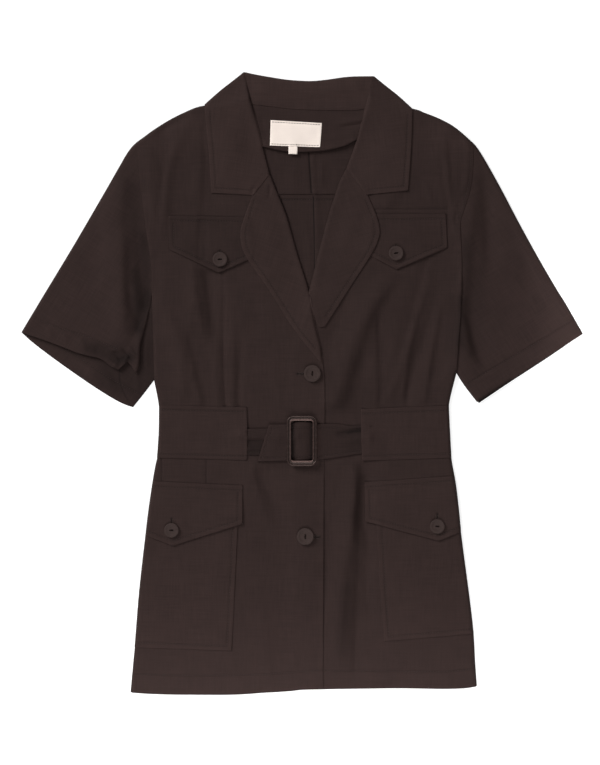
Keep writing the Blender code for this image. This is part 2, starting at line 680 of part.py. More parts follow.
def build_chest_flap(side, front):
    """A pointed flap on the chest. Its inner end lies under the lapel."""
    table = CHEST_FLAPS[side]

    def place(column, share):
        x, top_y, low_y = table[column]
        y = mix(top_y, low_y, share)
        return x, y, front.top(x, y) + LAYER

    cloth(f"flap_chest_{side}", range(len(table)), spaced(3), place)


def build_hip_pocket(side, front):
    """A patch pocket that runs round the side."""
    top_y, inner_top_x, inner_low_x, inner_low_y, side_low_y = HIP_POCKETS[side]

    def place(column, share):
        low_y = mix(side_low_y, inner_low_y, max(column, 0.0))
        inner_x = mix(inner_top_x, inner_low_x, share)
        return front.on_panel(column, inner_x, mix(top_y, low_y, share), LAYER)

    cloth(f"pocket_hip_{side}", [*PANEL_RIM, *spaced(6)], spaced(6), place)


def build_hip_flap(side, front):
    """A pointed flap over the pocket. It starts on the front and climbs onto the pocket."""
    inner_x, inner_top_y, inner_low_y, point_x, point_y, side_top_y, side_low_y = HIP_FLAPS[side]
    flat_x = front.side_at(point_y) - front.out * SIDE_ROUND
    point = (point_x - flat_x) / (inner_x - flat_x)

    def place(column, share):
        across = max(column, 0.0)
        top_y = mix(side_top_y, inner_top_y, across)
        if across <= point:
            low_y = mix(side_low_y, point_y, across / point)
        else:
            low_y = mix(point_y, inner_low_y, (across - point) / (1.0 - point))
        y = mix(top_y, low_y, share)
        offset = LAYER + LAYER * smooth((top_y - y) / FLAP_DROP)
        return front.on_panel(column, inner_x, y, offset)

    columns = [*PANEL_RIM, 0.0, point / 2.0]
    columns += [mix(point, 1.0, share) for share in spaced(4)]
    cloth(f"flap_hip_{side}", columns, [0.0, 0.1, 0.2, 0.35, 0.6, 1.0], place)


def build_waist_panel(side, front):
    """A wide tab round the waist. Its inner end is open and lifts over the belt."""
    inner_x, inner_top_y, inner_low_y, side_top_y, side_low_y = WAIST_PANELS[side]

    def place(column, share):
        across = max(column, 0.0)
        y = mix(mix(side_top_y, inner_top_y, across), mix(side_low_y, inner_low_y, across), share)
        x, y, z = front.on_panel(column, inner_x, y, LAYER)
        reach = abs(x) - abs(inner_x)
        return x, y, z + (BELT_RISE - LAYER) * smooth((2.0 * BELT_TUCK - reach) / BELT_TUCK)

    columns = [*PANEL_RIM, 0.0, 0.2, 0.4, 0.6, 0.68, 0.76, 0.84, 0.92, 1.0]
    cloth(f"waist_panel_{side}", columns, spaced(4), place)


# Belt, buckle, buttons and label

def build_belt():
    """The belt's two ends: one passes through the buckle, the other is held by the buckle's bar."""
    for name, table in (("belt_over", BELT_OVER), ("belt_under", BELT_UNDER)):

        def place(index, share, table=table):
            row = table[index]
            x, y = mix((row.top_x, row.top_y), (row.low_x, row.low_y), share)
            return x, y, row.under_z + BELT

        cloth(name, range(len(table)), spaced(2), place, wall=BELT)


def rounded_rectangle(centre_x, width, height, radius, steps=4):
    """Points round a rectangle with quarter-circle corners."""
    corners = ((1, 1, 0), (-1, 1, 90), (-1, -1, 180), (1, -1, 270))
    points = []
    for side_x, side_y, start in corners:
        for step in range(steps + 1):
            angle = math.radians(start + 90.0 * step / steps)
            x = centre_x + side_x * (width / 2.0 - radius) + radius * math.cos(angle)
            y = side_y * (height / 2.0 - radius) + radius * math.sin(angle)
            points.append((x, y))
    return points


def build_buckle():
    """A moulded frame with a bar: a flat outline with two windows, its edges rounded."""
    curve = bpy.data.curves.new("buckle", "CURVE")
    curve.dimensions = "2D"
    curve.fill_mode = "BOTH"
    curve.extrude = (BUCKLE_DEPTH / 2.0 - BUCKLE_BEVEL) * MM
    curve.bevel_depth = BUCKLE_BEVEL * MM
    curve.bevel_resolution = 1
    curve.offset = -BUCKLE_BEVEL * MM
    window = (WINDOW_OUTER[0] - BAR) / 2.0
    window_x = (WINDOW_OUTER[0] - window) / 2.0
    outlines = [rounded_rectangle(0.0, *BUCKLE_OUTER, BUCKLE_CORNER)]
    for side in (-1, 1):
        outlines.append(rounded_rectangle(side * window_x, window, WINDOW_OUTER[1], WINDOW_CORNER))
    for outline in outlines:
        spline = curve.splines.new("POLY")
        spline.points.add(len(outline) - 1)
        spline.use_cyclic_u = True
        for point, (x, y) in zip(spline.points, outline):
            point.co = (x * MM, y * MM, 0.0, 1.0)
    buckle = add_piece("buckle", curve, "buckle")
    buckle.location = Vector((BUCKLE_X, BUCKLE_Y, BUCKLE_LOW + BUCKLE_DEPTH / 2.0)) * MM


BUTTON_PROFILE = (  # (share of radius, share of thickness), from the middle of the top down the outer side
    (0.0, 0.72),
    (0.62, 0.72),
    (0.74, 1.0),
    (0.9, 1.0),
    (1.0, 0.75),
    (1.0, 0.35),
    (0.8, 0.0),
    (0.0, 0.0),
)
HOLE_RADIUS, HOLE_SPACING = 1.1, 4.6
BUTTONS = (  # name, x, y, diameter, thickness, turn of its holes in degrees, height of the cloth under it
    ("button_front_upper", 11.9, 10.7, 20.5, 3.4, 90, left_top(11.9, 10.7)),
    ("button_front_lower", 3.8, -176.0, 20.5, 3.4, 90, left_top(3.8, -176.0)),
    ("button_chest_left", -94.1, 141.7, 18.0, 3.2, 0, left_top(-94.1, 141.7) + LAYER),
    ("button_chest_right", 107.9, 148.8, 18.0, 3.2, 0, right_top(107.9, 148.8) + LAYER),
    ("button_hip_left", -149.6, -168.7, 18.0, 3.2, 0, FRONT_TOP + 2.0 * LAYER),
    ("button_hip_right", 155.0, -164.2, 18.0, 3.2, 0, FRONT_TOP + 2.0 * LAYER),
)


def hole_cutter(name, thickness):
    """Two upright pins, side by side, that cut a button's holes."""
    bm = bmesh.new()
    for side in (-1.0, 1.0):
        made = bmesh.ops.create_cone(
            bm,
            cap_ends=True,
            segments=8,
            radius1=HOLE_RADIUS * MM,
            radius2=HOLE_RADIUS * MM,
            depth=3.0 * thickness * MM,
        )
        bmesh.ops.translate(bm, verts=made["verts"], vec=(side * HOLE_SPACING / 2.0 * MM, 0.0, 0.0))
    mesh = bpy.data.meshes.new(name)
    bm.to_mesh(mesh)
    bm.free()
    cutter = bpy.data.objects.new(name, mesh)
    cutter.hide_render = True
    cutter.display_type = "WIRE"
    CUTTERS.objects.link(cutter)
    return cutter


def build_button(name, x, y, diameter, thickness, turn, cloth_z):
    """A turned button with a rim, a dished middle and two holes."""
    bm = bmesh.new()
    points = [(share * diameter / 2.0 * MM, 0.0, rise * thickness * MM) for share, rise in BUTTON_PROFILE]
    vertices = [bm.verts.new(point) for point in points]
    for first, second in zip(vertices, vertices[1:]):
        bm.edges.new((first, second))
    mesh = bpy.data.meshes.new(name)
    bm.to_mesh(mesh)
    bm.free()
    button = add_piece(name, mesh, "button")
    button.location = Vector((x, y, cloth_z + SEAM)) * MM
    button.rotation_euler.z = math.radians(turn)
    screw = button.modifiers.new("turned", "SCREW")
    screw.steps = BUTTON_SIDES
    screw.render_steps = BUTTON_SIDES
    screw.use_merge_vertices = True
    screw.merge_threshold = 0.00001
    cutter = hole_cutter(f"{name}_holes", thickness)
    cutter.parent = button
    holes = button.modifiers.new("holes", "BOOLEAN")
    holes.operation = "DIFFERENCE"
    holes.object = cutter


# Corners of the labels: top left, top right, low left, low right
LABEL_CORNERS = ((-36.4, 302.0), (22.6, 298.8), (-36.6, 272.6), (21.0, 270.8))
TAB_CORNERS = ((-15.2, 271.3), (-5.5, 271.0), (-15.0, 262.7), (-5.4, 262.5))


def build_labels():
    """The woven neck label and the small tab sewn in at its lower edge, both bare."""
    for name, corners in (("neck_label", LABEL_CORNERS), ("size_tab", TAB_CORNERS)):

        def place(column, share, corners=corners):
            top = mix(corners[0], corners[1], column)
            low = mix(corners[2], corners[3], column)
            x, y = mix(top, low, share)
            return x, y, yoke_top(x, y) + LAYER + SEAM + LABEL

        cloth(name, spaced(4), spaced(4), place, wall=LABEL, finish="label")


for leftover in list(bpy.data.objects):
    bpy.data.objects.remove(leftover)
COLLECTION = bpy.data.collections.new("short_sleeve_blazer")
CUTTERS = bpy.data.collections.new("cutters")
bpy.context.scene.collection.children.link(COLLECTION)
bpy.context.scene.collection.children.link(CUTTERS)
ROOT = bpy.data.objects.new("blazer", None)
COLLECTION.objects.link(ROOT)

build_back()
build_yoke()
build_fronts()
build_sleeves()
build_lapels()
build_collar()
build_neck()
for side_name, front_piece in (("left", LEFT), ("right", RIGHT)):
    build_chest_flap(side_name, front_piece)
    build_hip_pocket(side_name, front_piece)
    build_hip_flap(side_name, front_piece)
    build_waist_panel(side_name, front_piece)
build_belt()
build_buckle()
for button_row in BUTTONS:
    build_button(*button_row)
build_labels()
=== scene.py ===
# %% [markdown]
# # A short-sleeve belted blazer, laid out flat
#
# A plain CAD model of the blazer is already packed: walls of cloth in the right places, buttons and a
# buckle. It stays as the fixed frame for physics. This lesson makes what is seen: thin sheets of brown
# cotton that lie on each other, their folds and sewn lines, turned buttons, a moulded buckle and a bare
# woven label.
#
# Everything is in the CAD model's own frame: metres, +Z up from the table, +Y from the hem to the
# collar.

# %% Load the frame
import math

import bmesh
import bpy
import numpy as np
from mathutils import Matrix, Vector, geometry


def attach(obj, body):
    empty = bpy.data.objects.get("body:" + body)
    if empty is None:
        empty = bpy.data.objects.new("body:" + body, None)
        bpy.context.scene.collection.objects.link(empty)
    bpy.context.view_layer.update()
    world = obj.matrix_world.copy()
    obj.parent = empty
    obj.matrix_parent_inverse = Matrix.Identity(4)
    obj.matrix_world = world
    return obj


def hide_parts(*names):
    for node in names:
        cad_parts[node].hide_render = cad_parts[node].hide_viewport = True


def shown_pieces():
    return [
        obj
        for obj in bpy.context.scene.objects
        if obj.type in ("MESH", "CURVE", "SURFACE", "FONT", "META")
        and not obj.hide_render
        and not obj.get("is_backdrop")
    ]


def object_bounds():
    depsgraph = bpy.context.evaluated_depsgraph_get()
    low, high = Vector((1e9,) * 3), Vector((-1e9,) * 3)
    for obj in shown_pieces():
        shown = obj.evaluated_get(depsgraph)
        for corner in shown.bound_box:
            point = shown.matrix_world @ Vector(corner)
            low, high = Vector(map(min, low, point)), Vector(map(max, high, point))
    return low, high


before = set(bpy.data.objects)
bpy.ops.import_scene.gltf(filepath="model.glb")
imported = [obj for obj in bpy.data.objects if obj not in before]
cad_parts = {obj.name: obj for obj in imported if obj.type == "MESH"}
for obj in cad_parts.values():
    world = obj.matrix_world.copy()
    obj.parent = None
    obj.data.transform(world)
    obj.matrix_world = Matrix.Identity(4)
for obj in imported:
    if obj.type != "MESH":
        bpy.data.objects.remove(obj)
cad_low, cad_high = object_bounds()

print("CAD nodes:", len(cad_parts), "box:", [round(side, 4) for side in cad_high - cad_low])

# %% [markdown]
# ## Places on the cloth
#
# A garment that is laid flat and seen from straight above is a map of itself. One picture pixel is 1.15
# mm of cloth, so a seam that is read off the picture can be written down in pixels and turned into
# millimetres by one function.

# %% Picture pixels to millimetres
MM = 0.001
PIXEL = 1.15
MIDDLE_PIXEL = (302.0, 383.0)


def seen(*pixels):
    """Places read off the picture, in pixels, as millimetres on the table."""
    return np.array([((x - MIDDLE_PIXEL[0]) * PIXEL, (MIDDLE_PIXEL[1] - y) * PIXEL) for x, y in pixels])


print("collar corner to hem:", np.round(seen((245, 73), (323, 687)), 1).tolist(), "mm")

# %% [markdown]
# ## Camera, table and light
#
# The camera hangs straight above the garment on a long lens, so that nothing leans. The table is a
# plain pale plane. Dark matte cloth needs wide soft light: a broad panel far off beyond the left
# shoulder, which draws the thin shade beside each edge and fold, a smaller one that makes the skirt a
# little brighter, a weak one that glints in the buckle, and an even pale world. Two low panels with a
# grid brighten only the hem and the tip of the right sleeve. The standard view keeps colours as they
# are set.

# %% Camera
PICTURE_SIZE = (600, 765)
LENS, SENSOR = 85.0, 36.0
CLOTH_PLANE = 0.0015
scene = bpy.context.scene
scene.view_settings.view_transform = "Standard"
frame_height = PICTURE_SIZE[1] * PIXEL * MM
camera_rise = frame_height * LENS / SENSOR
aim = seen((PICTURE_SIZE[0] / 2, PICTURE_SIZE[1] / 2))[0] * MM
bpy.ops.object.select_all(action="DESELECT")
bpy.ops.object.camera_add(location=(aim[0], aim[1], CLOTH_PLANE + camera_rise), rotation=(0.0, 0.0, 0.0))
camera = bpy.context.object
camera.data.lens = LENS
camera.data.sensor_width = SENSOR
scene.camera = camera
print("camera", round(camera_rise, 3), "m above the cloth")

# %% Table and lights
bpy.ops.object.select_all(action="DESELECT")
bpy.ops.mesh.primitive_plane_add(size=9.0, location=(0.0, 0.0, 0.0))
table = bpy.context.object
table.name = "table"
table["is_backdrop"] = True
table_paper = bpy.data.materials.new("table_paper")
table_paper.use_nodes = True
paper = table_paper.node_tree.nodes["Principled BSDF"]
paper.inputs["Base Color"].default_value = (0.6, 0.6, 0.6, 1.0)
paper.inputs["Roughness"].default_value = 0.9
paper.inputs["Specular IOR Level"].default_value = 0.1
paper.inputs["Emission Color"].default_value = (1.0, 1.0, 1.0, 1.0)
paper.inputs["Emission Strength"].default_value = 0.6
table.data.materials.append(table_paper)


def light_panel(name, place, aim, size, power, spread=180.0):
    """A soft light that looks at a place; a grid can narrow its spread, in degrees."""
    lamp = bpy.data.lights.new(name, "AREA")
    lamp.shape = "RECTANGLE"
    lamp.size, lamp.size_y = size
    lamp.energy = power
    lamp.spread = math.radians(spread)
    panel = bpy.data.objects.new(name, lamp)
    panel.location = place
    panel.rotation_euler = (Vector(aim) - Vector(place)).to_track_quat("-Z", "Y").to_euler()
    scene.collection.objects.link(panel)


light_panel("shoulder_panel", (-3.8, 3.2, 3.2), (0.0, 0.0, 0.0), (2.6, 2.6), 330.0)
light_panel("skirt_panel", (0.0, -0.85, 0.95), (0.0, 0.0, 0.0), (0.8, 0.8), 9.0)
light_panel("glint_panel", (0.0, 1.1, 3.0), (0.0, 0.0, 0.0), (0.8, 0.8), 11.0)
light_panel("hem_grid", (0.0, -0.47, 0.42), (0.0, -0.47, 0.0), (0.75, 0.15), 0.54, spread=60.0)
light_panel("cuff_grid", (0.345, 0.085, 0.17), (0.345, 0.085, 0.0), (0.1, 0.3), 0.12, spread=60.0)
world = bpy.data.worlds.new("studio")
scene.world = world
world.use_nodes = True
world.node_tree.nodes["Background"].inputs["Color"].default_value = (1.0, 0.99, 0.98, 1.0)
world.node_tree.nodes["Background"].inputs["Strength"].default_value = 0.12
print("table, five light panels and a pale world")

# %% [markdown]
# ## The cotton
#
# Close up the cloth is a plain weave with slubs: threads that are thicker in places, so faint pale and
# dark streaks run along the warp and across along the weft. A shader node group makes that once, from a
# UV map in metres that follows each piece's grain. It puts out a colour, a roughness and a height. An
# attribute on the mesh holds painted shading: painted shade along sewn lines, in soft bands and over
# whole panels, painted light in other bands and panels, and a paler tone near a hem. The Principled
# shader stays in each material.

# %% Node helpers


def add_node(tree, kind, settings=(), values=()):
    """A node with its settings and the values of its unlinked inputs."""
    node = tree.nodes.new(kind)
    for name, value in settings:
        setattr(node, name, value)
    for name, value in values:
        node.inputs[name].default_value = value
    return node


def math_node(tree, operation, first, second):
    """A Math node between two sockets or numbers."""
    node = tree.nodes.new("ShaderNodeMath")
    node.operation = operation
    for socket, value in zip(node.inputs, (first, second)):
        if isinstance(value, bpy.types.NodeSocket):
            tree.links.new(value, socket)
        else:
            socket.default_value = value
    return node.outputs["Value"]


def new_group(name, inputs, outputs):
    """An empty shader node group with named sockets."""
    tree = bpy.data.node_groups.new(name, "ShaderNodeTree")
    for label, kind, value in inputs:
        socket = tree.interface.new_socket(label, in_out="INPUT", socket_type=kind)
        if value is not None:
            socket.default_value = value
    for label, kind in outputs:
        tree.interface.new_socket(label, in_out="OUTPUT", socket_type=kind)
    return tree, tree.nodes.new("NodeGroupInput"), tree.nodes.new("NodeGroupOutput")


def streaks(tree, vector, scale, detail):
    """Noise drawn out along one thread direction, from 0 to 1."""
    mapping = add_node(tree, "ShaderNodeMapping", values=[("Scale", scale)])
    settings = [("Scale", 1.0), ("Detail", detail), ("Roughness", 0.6)]
    noise = add_node(tree, "ShaderNodeTexNoise", values=settings)
    tree.links.new(vector, mapping.inputs["Vector"])
    tree.links.new(mapping.outputs["Vector"], noise.inputs["Vector"])
    return noise.outputs["Fac"]


def bands(tree, vector, direction, period):
    """Evenly spaced threads across one direction, from 0 to 1."""
    wave = add_node(
        tree,
        "ShaderNodeTexWave",
        settings=[("wave_type", "BANDS"), ("bands_direction", direction)],
        values=[("Scale", 0.31416 / period), ("Distortion", 0.6), ("Detail", 1.0)],
    )
    tree.links.new(vector, wave.inputs["Vector"])
    return wave.outputs["Fac"]


print("node helpers ready")

# %% Weave group
THREAD_PITCH = 0.0006
# The last of these tones sets how strongly painted shade and painted light change the cloth.
MEAN_TONE, PATCH_TONE, THREAD_TONE, PAINTED_SHADING_TONE = 0.93, 0.22, 0.28, 0.3
SLUB_ROUGHNESS, SLUB_HEIGHT = 0.15, 1.6
# One input of the group carries painted shade and painted light from the mesh.
weave, weave_in, weave_out = new_group(
    "plain_weave_with_slubs",
    [
        ("Vector", "NodeSocketVector", None),
        ("Ground", "NodeSocketColor", (0.03, 0.02, 0.018, 1.0)),
        ("Painted_Shading", "NodeSocketFloat", 0.0),
        ("Slub Tone", "NodeSocketFloat", 0.3),
        ("Roughness", "NodeSocketFloat", 0.85),
    ],
    [("Color", "NodeSocketColor"), ("Roughness", "NodeSocketFloat"), ("Height", "NodeSocketFloat")],
)
grain_vector = weave_in.outputs["Vector"]
warp_slubs = streaks(weave, grain_vector, (640.0, 36.0, 1.0), 2.0)
weft_slubs = streaks(weave, grain_vector, (30.0, 700.0, 1.0), 2.0)
patches = streaks(weave, grain_vector, (34.0, 30.0, 1.0), 3.0)
slubs = math_node(weave, "SUBTRACT", math_node(weave, "ADD", warp_slubs, weft_slubs), 1.0)
slubs = math_node(weave, "MULTIPLY", slubs, weave_in.outputs["Slub Tone"])
cloudy = math_node(weave, "MULTIPLY", math_node(weave, "SUBTRACT", patches, 0.5), PATCH_TONE)
threads = math_node(
    weave,
    "MULTIPLY",
    bands(weave, grain_vector, "X", THREAD_PITCH),
    bands(weave, grain_vector, "Y", THREAD_PITCH),
)
tone = math_node(weave, "ADD", math_node(weave, "ADD", slubs, cloudy), MEAN_TONE)
tone = math_node(weave, "ADD", tone, math_node(weave, "MULTIPLY", threads, THREAD_TONE))
# Painted shade from the mesh darkens the tone above 0, and painted light lightens it below 0.
painted_shading_factor = math_node(weave, "MULTIPLY", weave_in.outputs["Painted_Shading"], PAINTED_SHADING_TONE)
painted_shading_factor = math_node(weave, "SUBTRACT", 1.0, painted_shading_factor)
tone = math_node(weave, "MULTIPLY", tone, painted_shading_factor)
tinted = add_node(weave, "ShaderNodeVectorMath", settings=[("operation", "SCALE")])
weave.links.new(weave_in.outputs["Ground"], tinted.inputs[0])
weave.links.new(tone, tinted.inputs["Scale"])
weave.links.new(tinted.outputs["Vector"], weave_out.inputs["Color"])
rough = math_node(weave, "MULTIPLY", slubs, SLUB_ROUGHNESS)
rough = math_node(weave, "ADD", weave_in.outputs["Roughness"], rough)
weave.links.new(rough, weave_out.inputs["Roughness"])
height = math_node(weave, "ADD", threads, math_node(weave, "MULTIPLY", slubs, SLUB_HEIGHT))
weave.links.new(height, weave_out.inputs["Height"])
print("group", weave.name, "with", len(weave.nodes), "nodes")

# %% Cotton, thread and label materials
WEAVE_DEPTH = 0.00012


def grouped_material(name, group_tree, mask, ground, roughness, specular, bump, depth):
    """A material in which a node group, with a mask from the mesh, feeds one Principled shader."""
    material = bpy.data.materials.new(name)
    material.use_nodes = True
    tree = material.node_tree
    shader = tree.nodes["Principled BSDF"]
    group = tree.nodes.new("ShaderNodeGroup")
    group.node_tree = group_tree
    group.inputs["Ground"].default_value = (*ground, 1.0)
    group.inputs["Roughness"].default_value = roughness
    attribute = add_node(tree, "ShaderNodeAttribute", settings=[("attribute_name", mask.lower())])
    relief = add_node(tree, "ShaderNodeBump", values=[("Strength", bump), ("Distance", depth)])
    tree.links.new(attribute.outputs["Fac"], group.inputs[mask])
    tree.links.new(group.outputs["Color"], shader.inputs["Base Color"])
    tree.links.new(group.outputs["Roughness"], shader.inputs["Roughness"])
    tree.links.new(group.outputs["Height"], relief.inputs["Height"])
    tree.links.new(relief.outputs["Normal"], shader.inputs["Normal"])
    shader.inputs["Specular IOR Level"].default_value = specular
    return material, group, shader


def woven_material(name, ground, slub_tone, roughness, bump, specular):
    """A cloth: the weave group, along the grain of the UV map."""
    material, group, _ = grouped_material(
        name, weave, "Painted_Shading", ground, roughness, specular, bump, WEAVE_DEPTH
    )
    group.inputs["Slub Tone"].default_value = slub_tone
    uv = add_node(material.node_tree, "ShaderNodeUVMap", settings=[("uv_map", "grain")])
    material.node_tree.links.new(uv.outputs["UV"], group.inputs["Vector"])
    return material


cotton = woven_material("brown_cotton", (0.0285, 0.0170, 0.0153), 0.5, 0.86, 0.5, 0.12)
thread_cotton = woven_material("brown_thread", (0.0330, 0.0205, 0.0180), 0.2, 0.7, 0.3, 0.2)
label_satin = woven_material("cream_label", (0.91, 0.80, 0.725), 0.05, 0.6, 0.35, 0.2)
print("materials:", cotton.name, thread_cotton.name, label_satin.name)

# %% [markdown]
# ## Laying cloth on cloth
#
# Each cut of cloth could be simulated, but a simulation drifts away from the picture. Here the layout
# is built up as a person would do it: a bed of height values, one to each millimetre, holds the top of
# all that has been laid so far. A new panel is lowered onto the bed. It rests on the high places,
# bridges the low ones and is softened a little, so the layers below show through as they do in real
# cloth. Then its own top is added to the bed for the next panel.

# %% The bed
BED_X = np.arange(-342.0, 343.0)
BED_Y = np.arange(-374.0, 375.0)
bed_x, bed_y = np.meshgrid(BED_X, BED_Y)
laid = np.zeros(bed_x.shape)


def blurred(field, radius):
    """A field of bed values, softened over this many millimetres."""
    across = np.fft.rfftfreq(field.shape[1])
    down = np.fft.fftfreq(field.shape[0])
    fade = np.exp(-2.0 * (math.pi * radius) ** 2 * (across[None, :] ** 2 + down[:, None] ** 2))
    return np.fft.irfft2(np.fft.rfft2(field) * fade, s=field.shape)


def sampled(field, x, y):
    """Bed values at places between its squares."""
    column = np.clip(x - BED_X[0], 0.0, len(BED_X) - 1.001)
    row = np.clip(y - BED_Y[0], 0.0, len(BED_Y) - 1.001)
    j, i = column.astype(int), row.astype(int)
    u, v = column - j, row - i
    low = field[i, j] * (1.0 - u) + field[i, j + 1] * u
    high = field[i + 1, j] * (1.0 - u) + field[i + 1, j + 1] * u
    return low * (1.0 - v) + high * v


chance = np.random.default_rng(11)
ripples = blurred(chance.standard_normal(laid.shape), 9.0)
ripples = ripples / ripples.std()
print("bed of", laid.size, "squares")

# %% Lines on the cloth


def resampled(points, step):
    """The same line with evenly spaced points."""
    lengths = np.concatenate([[0.0], np.cumsum(np.hypot(*np.diff(points, axis=0).T))])
    count = max(2, int(round(lengths[-1] / step)) + 1)
    places = np.linspace(0.0, lengths[-1], count)
    x = np.interp(places, lengths, points[:, 0])
    y = np.interp(places, lengths, points[:, 1])
    return np.column_stack([x, y])


def curve(points, step=2.0):
    """Evenly spaced points on a smooth line through these."""
    points = np.asarray(points, float)
    if len(points) > 2:
        ends = np.vstack([2.0 * points[0] - points[1], points, 2.0 * points[-1] - points[-2]])
        share = np.linspace(0.0, 1.0, 16, endpoint=False)[:, None]
        spans = []
        for a, b, c, d in zip(ends, ends[1:], ends[2:], ends[3:]):
            bend = (2.0 * a - 5.0 * b + 4.0 * c - d) * share**2 + (3.0 * b - a - 3.0 * c + d) * share**3
            spans.append(b + 0.5 * ((c - a) * share + bend))
        points = np.vstack([*spans, points[-1:]])
    return resampled(points, step)


def beside(points, offset):
    """A line moved sideways, to the left of its direction."""
    run = np.gradient(points, axis=0)
    run /= np.hypot(*run.T)[:, None]
    return points + offset * np.column_stack([-run[:, 1], run[:, 0]])


def nearest(points, x, y):
    """For each place: distance to a line, which side of it, and the length along it."""
    best = np.full(np.shape(x), 1e9)
    side = np.zeros(np.shape(x))
    along = np.zeros(np.shape(x))
    start = 0.0
    for (ax, ay), (bx, by) in zip(points, points[1:]):
        run_x, run_y = bx - ax, by - ay
        length = math.hypot(run_x, run_y)
        share = np.clip(((x - ax) * run_x + (y - ay) * run_y) / length**2, 0.0, 1.0)
        away = np.hypot(x - ax - share * run_x, y - ay - share * run_y)
        closer = away < best
        best = np.where(closer, away, best)
        side = np.where(closer, np.sign(run_x * (y - ay) - run_y * (x - ax)), side)
        along = np.where(closer, start + share * length, along)
        start += length
    return best, side, along


def within(outline, x, y):
    """Which places lie inside a closed outline."""
    odd = np.zeros(np.shape(x), bool)
    for (ax, ay), (bx, by) in zip(outline, np.roll(outline, -1, axis=0)):
        if ay != by:
            odd ^= ((ay > y) != (by > y)) & (x < (bx - ax) * (y - ay) / (by - ay) + ax)
    return odd


print("line helpers ready")

# %% [markdown]
# ## What a panel is
#
# A panel has edges, sewn lines and folds. An edge is folded round to the table, rolled over a front,
# hemmed, seamed to its neighbour, brought down onto the layer below or hidden, and each kind rounds off
# in its own way. A sewn line presses a fine groove and has painted shade along it. A fold is a ridge or
# a trough along a line; with a lean, one flank is steeper than the other, as in a pressed pleat. A band
# is painted shade, or painted light where it is paler: it changes only the tone of the cloth, and stands
# in for shade and light that are too wide and soft to come from a fold. A whole panel can also carry
# painted shade or painted light.

# %% Edges, sewn lines and folds
# For each kind, in mm: reach inwards, height it rounds down to, and drop where it has no such height.
EDGE_KINDS = {
    "side": (3.6, 0.5, 0.0),
    "roll": (3.4, 2.3, 0.0),
    "turned": (2.6, 1.8, 0.0),
    "hem": (1.0, None, 0.55),
    "seam": (1.5, None, 0.5),
    "armhole": (3.2, "layer below", 0.0),
    "tucked": (3.2, "layer below", 0.0),
    "flush": (9.0, "layer below", 0.0),
    "gorge": (2.4, None, 1.15),
    "hidden": (0.8, None, 0.4),
}


class Sewn:
    """A sewn line: depth and half width of its groove, painted shade along it, and whether thread shows."""

    def __init__(self, *pixels, depth=0.32, width=0.85, dark=0.7, thread=True, smooth=False):
        places = seen(*pixels)
        self.points = curve(places, 1.8) if smooth else resampled(places, 1.8)
        self.depth = depth
        self.width = width
        # dark is the painted shade along the line, and painted light where it is below 0.
        self.dark = dark
        self.thread = thread


def painted_band(*pixels, width, dark, smooth=False):
    """Painted shade in a soft band, or painted light where dark is below 0; no groove and no thread."""
    return Sewn(*pixels, depth=0.0, width=width, dark=dark, thread=False, smooth=smooth)


class Fold:
    """A ridge, or a trough below 0: half width and height in mm, its lean, and how its ends fade."""

    def __init__(self, pixels, width, height, lean=0.0, fade=(0.35, 0.35), crisp=False):
        self.points = curve(seen(*pixels), 3.0)
        self.width = width
        self.height = height
        self.lean = lean
        self.fade = fade
        self.crisp = crisp

    def lift(self, x, y):
        away, side, along = nearest(self.points, x, y)
        length = np.hypot(*np.diff(self.points, axis=0).T).sum()
        width = self.width * np.where(side < 0.0, 1.0 - self.lean, 1.0 + self.lean)
        first = eased(along / (self.fade[0] * length + 0.001))
        last = eased((length - along) / (self.fade[1] * length + 0.001))
        return self.height * (first * last) * np.exp(-((1.7 * away / width) ** 2))


def eased(share):
    """0 below 0, 1 above 1, and an easy curve between."""
    share = np.clip(share, 0.0, 1.0)
    return share * share * (3.0 - 2.0 * share)


print("edge kinds:", ", ".join(EDGE_KINDS))

# %% Panel: settling on the bed
CLOTH, THINNEST = 0.9, 0.3
GAP = 0.15
WINDOW_MARGIN = 20.0
RIPPLE = 0.13
SETTLE_PASSES, LAST_BLUR = 4, 1.3
# Within a few mm of a hem the cloth's tone is made paler.
HEM_WIDTH, HEM_TONE = 5.5, -0.12


